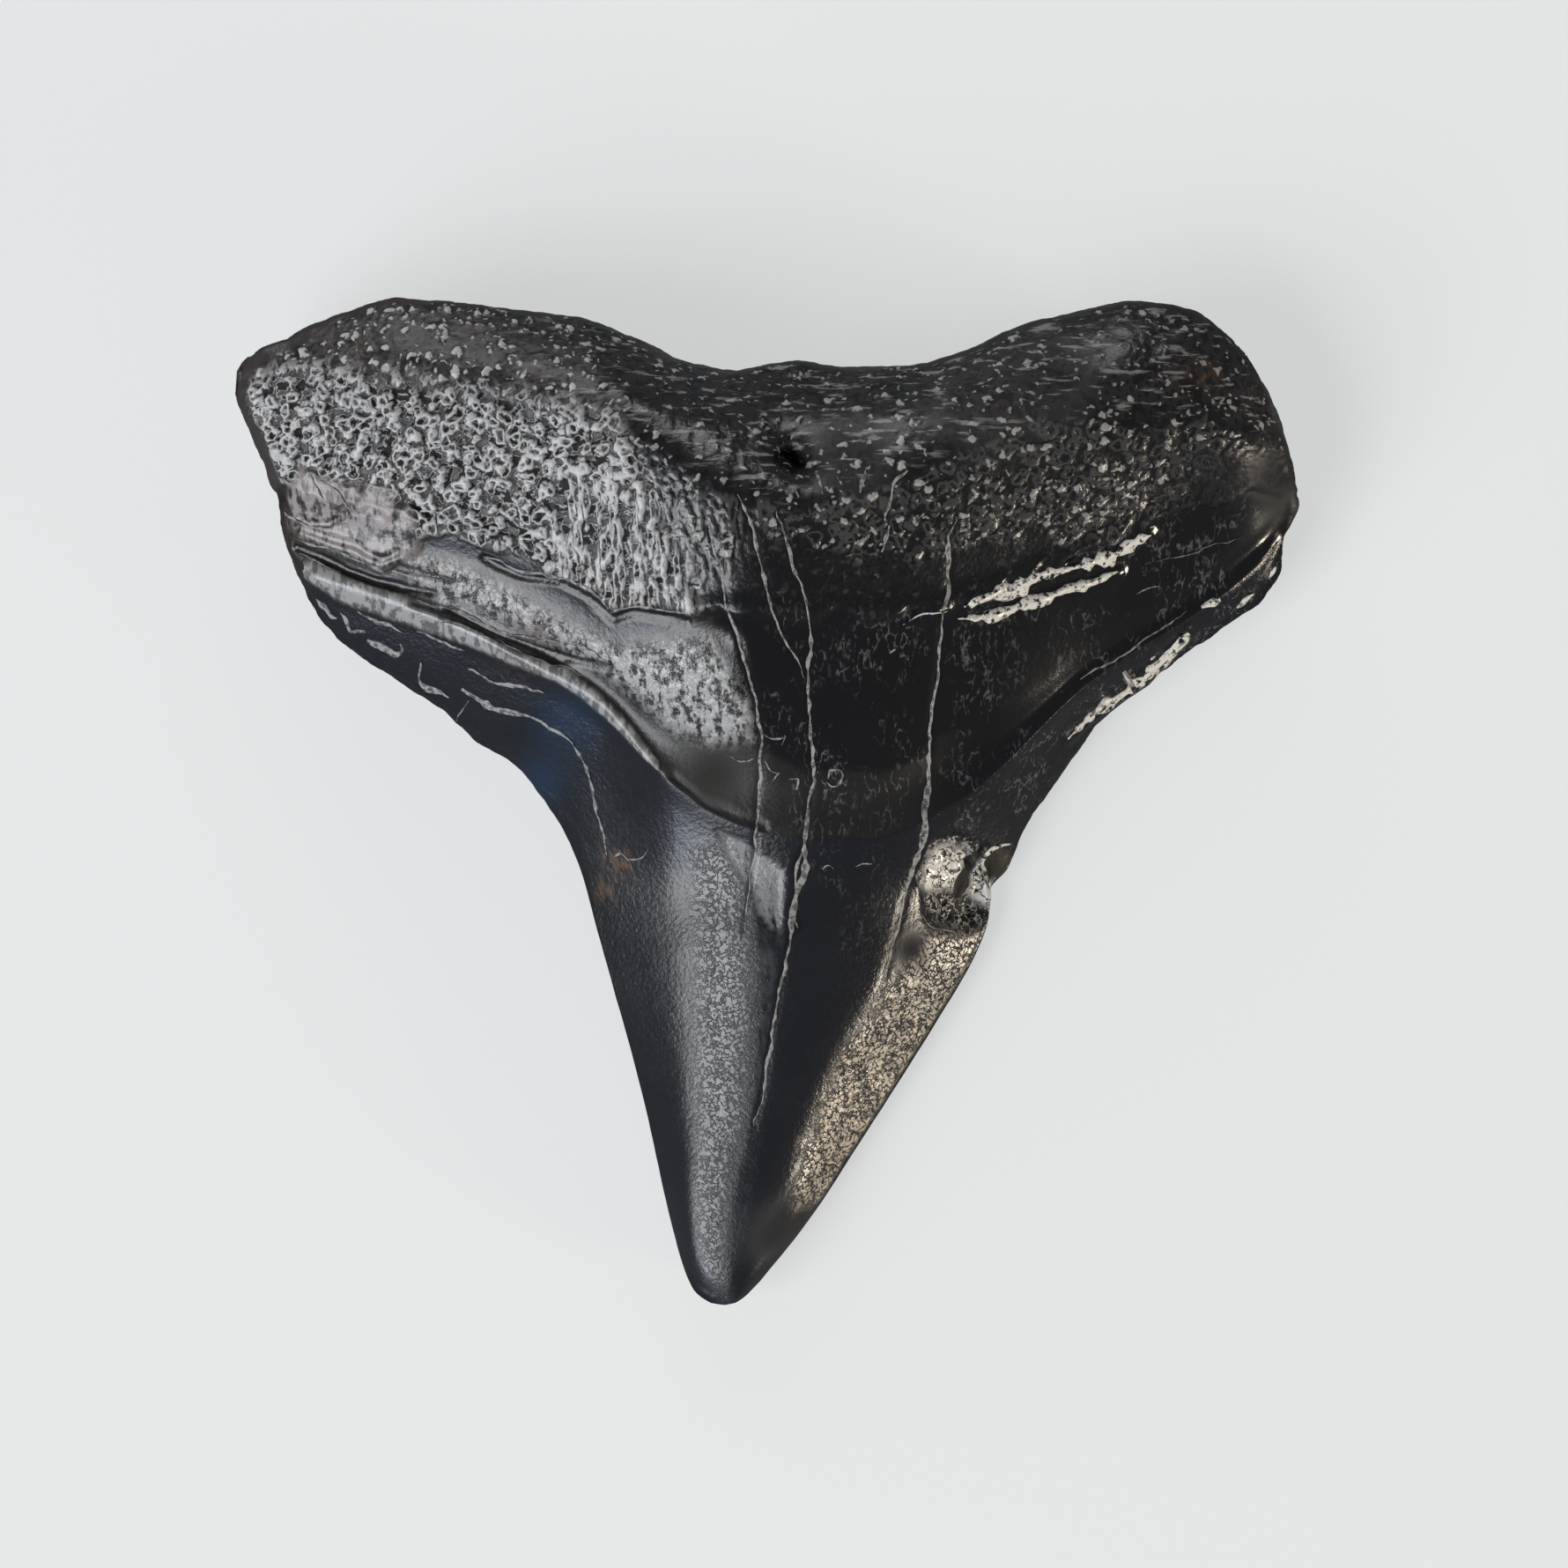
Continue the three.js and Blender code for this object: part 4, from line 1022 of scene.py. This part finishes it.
def vein_mesh(name, lines, rise, surface):
    """Thin bands of mineral that lie on the surface along lines, uneven in width and height."""
    down = Vector((0, 0, -1))
    points, faces = [], []
    for number, line in enumerate(lines):
        at, path = along(line)
        ahead = np.gradient(path[:, :2], axis=0)
        side = np.column_stack([-ahead[:, 1], ahead[:, 0]])
        side /= np.linalg.norm(side, axis=1)[:, None]
        own_lumps = np.full(len(at), 7.0 * number)
        wander = sum(
            reach * uneven(at, own_lumps, size, 20 + row)
            for row, (size, reach) in enumerate(VEIN_WANDER)
        )
        centre = path[:, :2] + side * wander[:, None]
        width = path[:, 2] * (0.7 + 0.45 * uneven(at, own_lumps, 0.16, 31))
        height = rise * (0.75 + 0.45 * uneven(at, own_lumps, 0.2, 32))
        first = len(points)
        for at_centre, to_side, half, up in zip(centre, side, width, height):
            for across, share in VEIN_SECTION:
                x, y = at_centre + to_side * half * across
                hit = surface.ray_cast(Vector((x, y, HIGH_ABOVE)) * MM, down)[0]
                hit = hit or surface.find_nearest(Vector((x, y, HALF_WAY_UP)) * MM)[0]
                points.append((hit.x, hit.y, hit.z + up * share * MM))
        count = len(VEIN_SECTION)
        for i in range(len(at) - 1):
            here, there = first + i * count, first + (i + 1) * count
            for k in range(count):
                n = (k + 1) % count
                faces.append((here + k, here + n, there + n, there + k))
        last = first + (len(at) - 1) * count
        faces.append(tuple(first + k for k in reversed(range(count))))
        faces.append(tuple(last + k for k in range(count)))
    mesh = bpy.data.meshes.new(name)
    mesh.from_pydata(points, [], faces)
    mesh.polygons.foreach_set("use_smooth", np.ones(len(faces), bool))
    mesh.update()
    return mesh


# ---- Geometry Nodes ----
def porous_root():
    """Pores, grooves and grains over the root, and the step up to it from the smooth band."""
    t = SurfaceTree("Porous Root", "Pore Depth", "Grain Height", "Step Height")
    open_root, dim = t.named("open_root"), t.named("dim")
    loop, pit, gap, fine = t.pores(t.place, t.named("striate"))
    grains = t.specks(t.place, t.named("speck_density"))
    lines = t.noise(t.stretched(t.place, (0.9, 6.0, 3.0)), 1.0, 3.0) - 0.5
    pores = loop - pit * 0.8 - gap * 0.8 + fine * 0.9
    t.push_out(
        open_root * (1 - dim * 0.9) * pores * t.value("Pore Depth")
        + open_root * dim * (grains + lines * t.named("streaky") * 0.9 + fine * 0.6)
        * (1 - t.named("right_side") * 0.3) * t.value("Grain Height")
        + t.named("porous") * t.named("lingual") * t.value("Step Height")
    )
    t.finish()
    return t


def smooth_wear():
    """Ripples of the enamel and the band, worn edges, and the facets of what has chipped off."""
    t = SurfaceTree("Smooth Wear", "Ripple", "Edge Wear", "Facet Height")
    enamel = t.noise(t.place, 2.2, 3.0) - 0.5
    band = t.noise(t.stretched(t.place, (2.4, 0.7, 1.0)), 1.0, 4.0) - 0.5
    share = t.named("band")
    share_left = share * (1 - t.named("right_side") * 0.85)
    ripple = (enamel * (1 - share) + band * share_left * 2.4) * (1 - t.named("porous"))
    worn = t.named("worn") * (1 - t.smooth(t.named("rim_depth"), 0.0, 0.4))
    edge = t.noise(t.place, 1.7, 3.0, 0.6) - 0.5
    facets = t.named("chip") * t.facets(t.place, 2.6) * 1.8
    ridge = t.named("foot_ridge") * 0.3 + t.named("smooth_blob") * 0.5
    push = (
        ripple * t.value("Ripple")
        + worn * edge * t.value("Edge Wear")
        + (facets + ridge - t.named("torn") * 0.2) * t.value("Facet Height")
    )
    # The face that the tooth lies on only wears inwards.
    t.push_out(push - (1 - t.named("lingual")) * push.size())
    t.finish()
    return t


def followed_lines(attribute):
    """Grooves or ridges that follow the lines of another object across the lingual face."""
    t = SurfaceTree(attribute, "Lines", "Width", "Height")
    flat = t.stretched(t.add("GeometryNodeInputPosition"), (1.0, 1.0, 0.0))
    guide = t.add("GeometryNodeObjectInfo", {}, {"Object": t.value("Lines")}, "Geometry")
    away = t.add(
        "GeometryNodeProximity",
        {"target_element": "EDGES"},
        {"Geometry": guide, "Sample Position": flat},
        "Distance",
    )
    width = t.value("Width") * (0.45 + t.noise(t.place, 1.3) * 1.1)
    line = (1 - t.smooth(away, width * 0.25, width)) * t.named("lingual")
    t.store(attribute, line)
    t.push_out(line * t.value("Height"))
    t.finish()
    return t


# ---- Materials ----
BLACKEST = (0.004, 0.004, 0.004)
SEAM_AND_SHADOW_BLACK = (0.005, 0.005, 0.005)
DEEP_BLACK = (0.005, 0.005, 0.006)
FAINT_SHADE_BLACK = (0.004, 0.004, 0.005)
BAND_SHADE_BLACK = (0.007, 0.007, 0.0085)
CHIP_BLACK = (0.006, 0.006, 0.005)
PAINTED_BLUE_REFLECTION = (0.012, 0.03, 0.062)
BITE_BROWN = (0.038, 0.033, 0.026)
DIM_GREY = (0.05, 0.051, 0.056)
CURL_GLINT_GREY = (0.15, 0.15, 0.16)
TORN_GREY = (0.24, 0.24, 0.245)
STRIP_SHEEN_GREY = (0.3, 0.3, 0.3)
BLOB_GREY = (0.36, 0.32, 0.31)
WORN_PINK = (0.14, 0.095, 0.082)
FLANK_HIGHLIGHT_CREAM = (0.54, 0.465, 0.37)
PAINTED_GLINT_WHITE = (1.0, 0.98, 0.93)
FOSSIL_IOR = 1.63
MINERAL_IOR = 1.6


def new_material(name):
    """An empty material and a builder for its nodes."""
    material = bpy.data.materials.new(name)
    material.use_nodes = True
    material.node_tree.nodes.clear()
    return material, Builder(material.node_tree)


def give_shader(t, inputs):
    shader = t.add("ShaderNodeBsdfPrincipled", inputs=inputs)
    t.add("ShaderNodeOutputMaterial", inputs={"Surface": shader})


def fossil_material(look):
    """Black fossil phosphate: glossy enamel, a smooth olive-brown band and a dull porous root."""
    material, t = new_material("fossil phosphate")

    def named(name, output="Fac"):
        return t.add("ShaderNodeAttribute", {"attribute_name": name}, output=output)

    place = named("place", "Vector")
    porous, band, basal, back = named("porous"), named("band"), named("basal"), named("back")
    flank, chip, strip, dull = named("flank"), named("chip"), named("strip"), named("dull")
    open_root, dim, lined = named("open_root"), named("dim"), named("lined")
    right, faint, streaky = named("right_side"), named("faint"), named("streaky")
    loop, pit, gap, fine = t.pores(place, named("striate"))
    specks = t.specks(place, named("speck_density"))

    blotch = t.noise(place, 0.8, 4.0, 0.6)
    speckle = t.noise(place, 7.0, 3.0, 0.65)
    mottle = t.noise(place, 8.0)
    worms = t.smooth((mottle - 0.5).size(), 0.022, 0.07)
    grit = t.smooth((speckle - 0.5).size(), 0.0, 0.06)
    threads = 1 - t.smooth(fine.size(), 0.012, 0.045)
    drawn = t.noise(t.stretched(place, (6.5, 2.6, 3.0)), 1.0, 3.0, 0.6)
    plates = t.smooth(t.noise(place, 3.4), 0.38, 0.56)

    # The enamel.
    # The right flank of the blade, where a warm cream highlight is painted, broken by thin dark
    # worm lines, less on dull spots.
    bright = flank * (1 - dull * 0.6)
    enamel = t.mix_colour(blotch, look.enamel_colour, look.enamel_blue)
    enamel = layered(t.mix_colour, enamel, [
        # A painted blue reflection on the left shoulder.
        (named("blue") * 0.9, PAINTED_BLUE_REFLECTION),
        # Grey mottle on the blade's strip: a painted sheen where the strip reflects the light.
        (strip * (grit * 2.8 + 0.2) * 0.125, STRIP_SHEEN_GREY),
        ((bright * worms * (0.3 + plates)).clamped(), FLANK_HIGHLIGHT_CREAM),
        (named("half_light") * t.smooth(drawn, 0.34, 0.62), DIM_GREY),
    ])

    # The smooth band.
    plane = named("pale_plane") * band
    plane_pale = t.smooth(drawn, 0.43, 0.56) * 0.9 + t.smooth(mottle, 0.5, 0.6) * 0.5
    olive = t.mix_colour(speckle, look.band_colour, look.band_dark)
    olive = layered(t.mix_colour, olive, [
        ((plane * plane_pale).clamped(), look.rim_colour),
        # The band's right side, apart from the olive strip, is painted near black as shade.
        (right * (1 - named("olive_strip")) * 0.85, BAND_SHADE_BLACK),
    ])

    # The root, with its pores, grains and streaks.
    root = t.mix_colour(t.smooth(blotch, 0.4, 0.65), look.root_colour, look.root_brown)
    # The right side of the root, less on its crest, is painted near black as shade.
    root = t.mix_colour(right * (1 - basal * 0.6) * 0.95, root, DEEP_BLACK)
    # Pale grey painted along the enamel's foot ridge as its highlight.
    ridge = named("foot_ridge") * (0.35 + t.smooth(drawn, 0.42, 0.6))
    # Pale rims round the pores on the lit left side of the root: pale bone in part, painted
    # highlight in part.
    rims = lined * (loop * 0.95 + fine * 1.4).clamped().most(lined * threads * 0.7)
    rim_pale = [min(1, part * 1.2) for part in look.rim_colour]
    streaks = t.noise(t.stretched(place, (1.3, 8.5, 3.0)), 1.0, 3.0, 0.6)
    streaks = basal * open_root * streaky * t.smooth(streaks, 0.56, 0.68)
    grains = (open_root * dim + back * 0.7) * specks

    # Marks that lie over all of these.
    # Faint pale curls painted as glints on the dark right side and on a few spots of the band.
    curls = t.noise(t.stretched(place, (5.5, 2.0, 3.0)), 1.0)
    curls = (1 - t.smooth((curls - 0.5).size(), 0.0, 0.05)) * t.smooth(blotch, 0.46, 0.62)
    curls = curls * faint * t.smooth(speckle, 0.4, 0.6)
    pale_blob = (0.04 + t.smooth(drawn, 0.4, 0.56)).clamped() * named("smooth_blob") * 0.9
    # Painted glints of the chip: white over its bright facets, thin pale lines elsewhere, none
    # along its crack.
    broken = (t.noise(place, 4.6, 3.0, 0.6) - 0.5).size()
    thin = 1 - t.smooth(broken, 0.012, 0.035)
    glitter = t.mix_value(named("glitter"), thin * 0.7, t.smooth(broken, 0.018, 0.04))
    glitter = glitter * (1 - named("cracked"))
    colour = layered(t.mix_colour, enamel, [
        (band, olive),
        (ridge.clamped() * 0.75, look.rim_colour),
        (porous, root),
        ((open_root + back) * (pit + gap).clamped() * 0.85, BLACKEST),
        (rims, rim_pale),
        (streaks * 0.5, look.grain_colour),
        (grains * (0.6 + speckle) * (1 - right * 0.3), look.grain_colour),
        # Painted shade where the curls lie, then the curls as painted glints.
        (faint * 0.6, FAINT_SHADE_BLACK),
        (curls.clamped(), CURL_GLINT_GREY),
        (named("pink") * t.smooth(mottle, 0.42, 0.6) * 0.7, WORN_PINK),
        (named("rust") * 0.7, look.rust_colour),
        (named("neck_shade") * named("lingual") * 0.85, BLACKEST),
        # Dark seams, and the painted shadow under the step to the root.
        (named("seam") * 0.9, SEAM_AND_SHADOW_BLACK),
        (pale_blob, BLOB_GREY),
        (named("torn") * t.smooth(drawn, 0.32, 0.5), TORN_GREY),
        (chip * 0.95, CHIP_BLACK),
        (chip * glitter, PAINTED_GLINT_WHITE),
        (named("bite"), BITE_BROWN),
        (t.smooth(named("filling"), 0.1, 0.6) * 0.7, DEEP_BLACK),
    ])

    roughness = t.mix_value(band, look.enamel_roughness, look.band_roughness)
    roughness = t.mix_value(porous, roughness, look.root_roughness)
    roughness = roughness + (speckle - 0.5) * 0.16 + (blotch - 0.5) * 0.12
    roughness = layered(t.mix_value, roughness, [
        (right * porous * 0.8, 0.2),
        (right * band, 0.14),
        (named("olive_strip"), 0.38),
        (back, 0.55),
        (lined * (pit + gap).clamped(), 0.85),
        (bright * (1 - worms), 0.8),
        (dull * 0.9, 0.95),
        (chip, 0.75 - glitter * 0.58),
    ])

    height = (
        t.noise(place, 10.5, 3.0, 0.6) * (1.2 - right * band * 0.9)
        + bright * worms * 3.2
        + strip * grit * 0.9
        + (lined + back) * (loop - pit - gap + threads * 0.6) * 1.3
        + chip * glitter * 6.0
        + plane * (drawn * 2.4 + grit + mottle * 2.0)
    )
    give_shader(t, {
        "Base Color": colour,
        "Roughness": roughness.clamped(),
        "Normal": t.bump(look.grain_strength, height),
        "IOR": FOSSIL_IOR,
    })
    return material


def mineral_material(name, pale, dark, roughness, fleck_share):
    """Pale mineral with dark flecks, in the cracks and along worn edges, and on the ridges, where
    its pale colour is a painted glint.
    """
    material, t = new_material(name)
    place = t.scaled(t.add("ShaderNodeTexCoord", output="Object"), 1 / MM)
    flecks = t.smooth(t.noise(place, 8.0, 3.0, 0.6), fleck_share, fleck_share + 0.14)
    give_shader(t, {
        "Base Color": t.mix_colour(flecks, dark, pale),
        "Roughness": (roughness + (flecks - 0.5) * 0.15).clamped(),
        "Normal": t.bump(0.6, t.noise(place, 11.0, 3.0)),
        "IOR": MINERAL_IOR,
    })
    return material


def table_material(colour):
    """A pale matt top that glows a little, as a lit sheet of tracing paper does."""
    material, t = new_material("pale table top")
    give_shader(t, {
        "Base Color": (*colour, 1),
        "Roughness": 1.0,
        "Specular IOR Level": 0.0,
        "Emission Color": (0.98, 1.0, 1.0, 1),
        "Emission Strength": 0.565,
    })
    return material


# ---- Settings ----
def colour_property(name, description, default):
    return FloatVectorProperty(
        name=name, description=description, default=default, size=3, min=0, max=1, subtype="COLOR",
    )


def length_property(name, description, default):
    return FloatProperty(
        name=name, description=description, default=default, min=0, unit="LENGTH", precision=6,
    )


def share_property(name, description, default):
    return FloatProperty(
        name=name, description=description, default=default, min=0, max=1, subtype="FACTOR",
    )


class ToothSettings(bpy.types.PropertyGroup):
    pore_depth: length_property("Pore Depth", "How far the pores reach in", 0.075 * MM)
    grain_height: length_property("Grain Height", "Height of grains on dark slopes", 0.06 * MM)
    step_height: length_property("Step Height", "Step from the band up to the root", 0.1 * MM)
    groove_width: length_property("Groove Width", "Half the width of a crack's groove", 0.11 * MM)
    groove_depth: length_property("Groove Depth", "Depth of a crack's groove", 0.012 * MM)
    seam_width: length_property("Seam Width", "Half the width of an open seam", 0.12 * MM)
    seam_depth: length_property("Seam Depth", "Depth of an open seam", 0.06 * MM)
    ledge_width: length_property("Ledge Width", "Half the width of a growth ledge", 0.2 * MM)
    ledge_height: length_property("Ledge Height", "Height of a growth ledge", 0.06 * MM)
    vein_rise: length_property("Vein Rise", "How far mineral in a crack stands out", 0.012 * MM)
    flake_rise: length_property("Flake Rise", "How far a pale line stands out", 0.03 * MM)
    bead_rise: length_property("Bead Rise", "How far a glossy ridge stands out", 0.08 * MM)
    ripple: length_property("Ripple", "Height of the ripples of the smooth parts", 0.014 * MM)
    edge_wear: length_property("Edge Wear", "Depth of the wear along the edges", 0.16 * MM)
    facet_height: length_property("Facet Height", "Height of the facets in the chip", 0.16 * MM)


class LookSettings(bpy.types.PropertyGroup):
    enamel_colour: colour_property("Enamel", "Black of the enamel", (0.011, 0.011, 0.013))
    enamel_blue: colour_property("Enamel Blue", "Bluish black of the enamel", (0.012, 0.014, 0.02))
    band_colour: colour_property("Band", "Olive brown of the band", (0.022, 0.019, 0.015))
    band_dark: colour_property("Band Dark", "Darker streaks of the band", (0.012, 0.012, 0.011))
    root_colour: colour_property("Root", "Grey of the root", (0.03, 0.0292, 0.03))
    root_brown: colour_property("Root Brown", "Brown patches of the root", (0.048, 0.037, 0.033))
    grain_colour: colour_property("Grains", "Pale mineral grains", (0.54, 0.53, 0.51))
    rust_colour: colour_property("Rust", "Rusty marks", (0.15, 0.08, 0.042))
    # Pale pore rims, part pale bone and part painted highlight; the same pale is painted as the
    # foot ridge's highlight.
    rim_colour: colour_property("Pore Rims", "Pale rims round the pores", (0.48, 0.477, 0.472))
    filling_colour: colour_property("Filling", "Grey mineral in the cracks", (0.34, 0.335, 0.33))
    # The beads' pale colour is a painted glint on the ridges.
    bead_glint_colour: colour_property("Beads", "Polished beads of the ridges", (0.78, 0.76, 0.7))
    filling_dark: colour_property("Filling Flecks", "Flecks in the mineral", (0.1, 0.1, 0.1))
    enamel_roughness: share_property("Enamel Roughness", "Gloss of the enamel", 0.25)
    band_roughness: share_property("Band Roughness", "Gloss of the band", 0.3)
    root_roughness: share_property("Root Roughness", "Gloss of the root", 0.38)
    grain_strength: share_property("Grain Strength", "Strength of the finest grain", 0.5)


class StageSettings(bpy.types.PropertyGroup):
    table_colour: colour_property("Table", "Pale table top", (0.33, 0.33, 0.33))
    camera_distance: length_property("Camera Distance", "Height of the camera", 0.16)
    view_width: length_property("View Width", "Width of the table that the camera sees", 0.03255)


# ---- Operators ----
class FOSSIL_OT_tooth(bpy.types.Operator):
    """Grow the tooth, with its pores, cracks and growth ledges"""

    bl_idname = "fossil.tooth"
    bl_label = "Grow Tooth"

    def execute(self, context):
        size = context.scene.fossil_tooth
        material = fossil_material(context.scene.fossil_look)
        tooth = bpy.data.objects.new("fossil_tooth", tooth_mesh())
        context.scene.collection.objects.link(tooth)
        shape_with(tooth, smooth_wear(), material, {
            "Ripple": size.ripple,
            "Edge Wear": size.edge_wear,
            "Facet Height": size.facet_height,
        })
        shape_with(tooth, porous_root(), material, {
            "Pore Depth": size.pore_depth,
            "Grain Height": size.grain_height,
            "Step Height": size.step_height,
        })
        runs = [
            ("filling", CRACK_FILLINGS, size.groove_width, -size.groove_depth),
            ("seam", SEAMS_AND_STEP_SHADOW, size.seam_width, -size.seam_depth),
            ("ledge", LEDGES, size.ledge_width, size.ledge_height),
        ]
        for attribute, lines, width, height in runs:
            guide = line_object(attribute, lines)
            values = {"Lines": guide, "Width": width, "Height": height}
            shape_with(tooth, followed_lines(attribute), material, values)
            discard(guide)
        keep(tooth)
        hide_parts("tooth")
        return {"FINISHED"}


def keep(piece):
    """Every piece of the tooth is the same fossil mineral and moves with it."""
    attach(piece, "root")


class FOSSIL_OT_veins(bpy.types.Operator):
    """Lay the mineral that fills the cracks, the worn pale lines and the glossy ridges"""

    bl_idname = "fossil.veins"
    bl_label = "Lay Veins"

    def execute(self, context):
        size, look = context.scene.fossil_tooth, context.scene.fossil_look
        tooth = bpy.data.objects["fossil_tooth"]
        surface = BVHTree.FromObject(tooth, context.evaluated_depsgraph_get())
        grey = mineral_material(
            "crack filling", look.filling_colour, look.filling_dark,
            roughness=0.45, fleck_share=0.42,
        )
        # The ridges' pale beads are a painted glint.
        glossy = mineral_material(
            "worn ridge", look.bead_glint_colour, look.enamel_colour,
            roughness=0.2, fleck_share=0.37,
        )
        veins = [
            ("crack_fillings", CRACK_FILLINGS, size.vein_rise, grey),
            ("pale_lines", PALE_LINES, size.flake_rise, grey),
            ("glossy_ridges", GLOSSY_RIDGES, size.bead_rise, glossy),
        ]
        for name, lines, rise, material in veins:
            piece = bpy.data.objects.new(name, vein_mesh(name, lines, rise / MM, surface))
            piece.data.materials.append(material)
            context.scene.collection.objects.link(piece)
            keep(piece)
        return {"FINISHED"}


CAMERA_OVER = (0.302 * MM, 0.466 * MM)
CAMERA_FOCUS_HEIGHT = 2 * MM  # the view width is measured here, about where the outline lies
SENSOR_WIDTH = 36  # millimetres, as is the focal length
TABLE_HALF = 0.5
LAMP_DISTANCE = 0.4
STUDIO_COLOUR, STUDIO_STRENGTH = (0.9, 0.95, 1.0, 1), 0.12
LAMPS = [  # name, direction from the tooth, width and length, power, colour
    ("window", (-0.68, -0.42, 0.6), (0.3, 0.26), 1.4, (0.97, 0.98, 1.0)),
    ("warm lamp", (0.92, -0.4, 0.15), (0.08, 0.1), 0.8, (1.0, 0.88, 0.72)),
    ("back card", (-0.12, 0.95, 0.3), (0.34, 0.14), 0.42, (0.98, 0.97, 1.0)),
    ("blue card", (-0.66, -0.66, 0.3), (0.08, 0.06), 0.06, (0.35, 0.55, 1.0)),
]


def area_light(name, towards, size, power, colour):
    """A soft lamp in the given direction from the tooth, facing it."""
    light = bpy.data.lights.new(name, "AREA")
    light.shape = "RECTANGLE"
    light.size, light.size_y = size
    light.energy = power
    light.color = colour
    lamp = bpy.data.objects.new(name, light)
    direction = Vector(towards).normalized()
    lamp.location = direction * LAMP_DISTANCE
    lamp.rotation_euler = direction.to_track_quat("Z", "Y").to_euler()
    bpy.context.scene.collection.objects.link(lamp)


class FOSSIL_OT_stage(bpy.types.Operator):
    """Set up the pale table, the soft lights and the camera overhead"""

    bl_idname = "fossil.stage"
    bl_label = "Set Up Stage"

    def execute(self, context):
        scene = context.scene
        stage = scene.fossil_stage

        table = bpy.data.meshes.new("table")
        signs = [(-1, -1), (1, -1), (1, 1), (-1, 1)]
        corners = [(x * TABLE_HALF, y * TABLE_HALF, 0) for x, y in signs]
        table.from_pydata(corners, [], [(0, 1, 2, 3)])
        table_top = bpy.data.objects.new("table_top", table)
        scene.collection.objects.link(table_top)
        table.materials.append(table_material(stage.table_colour))
        table_top.visible_glossy = False

        world = bpy.data.worlds.new("dim studio")
        world.use_nodes = True
        studio = world.node_tree.nodes["Background"].inputs
        studio["Color"].default_value = STUDIO_COLOUR
        studio["Strength"].default_value = STUDIO_STRENGTH
        scene.world = world

        for lamp in LAMPS:
            area_light(*lamp)

        camera = bpy.data.cameras.new("camera")
        camera.sensor_width = SENSOR_WIDTH
        camera.lens = SENSOR_WIDTH * stage.camera_distance / stage.view_width
        camera.clip_start = 0.01
        eye = bpy.data.objects.new("camera", camera)
        eye.location = (*CAMERA_OVER, stage.camera_distance + CAMERA_FOCUS_HEIGHT)
        scene.collection.objects.link(eye)
        scene.camera = eye
        scene.view_settings.view_transform = "Standard"
        return {"FINISHED"}


class FOSSIL_PT_panel(bpy.types.Panel):
    bl_label = "Fossil Tooth"
    bl_idname = "FOSSIL_PT_panel"
    bl_space_type = "VIEW_3D"
    bl_region_type = "UI"
    bl_category = "Fossil Tooth"

    def draw(self, context):
        for label, operator, group in PANEL_ROWS:
            box = self.layout.box()
            box.label(text=label)
            settings = getattr(context.scene, group)
            for name in settings.__annotations__:
                box.prop(settings, name)
            box.operator(operator)


PANEL_ROWS = [
    ("Tooth", "fossil.tooth", "fossil_tooth"),
    ("Look", "fossil.veins", "fossil_look"),
    ("Stage", "fossil.stage", "fossil_stage"),
]
SETTINGS = {
    "fossil_tooth": ToothSettings,
    "fossil_look": LookSettings,
    "fossil_stage": StageSettings,
}
CLASSES = [
    *SETTINGS.values(), FOSSIL_OT_tooth, FOSSIL_OT_veins, FOSSIL_OT_stage, FOSSIL_PT_panel,
]


def register():
    for kind in CLASSES:
        bpy.utils.register_class(kind)
    for name, kind in SETTINGS.items():
        setattr(bpy.types.Scene, name, PointerProperty(type=kind))


def unregister():
    for name in SETTINGS:
        delattr(bpy.types.Scene, name)
    for kind in reversed(CLASSES):
        bpy.utils.unregister_class(kind)


def main():
    register()
    bpy.ops.fossil.stage()
    bpy.ops.fossil.tooth()
    bpy.ops.fossil.veins()


if __name__ == "__main__":
    main()
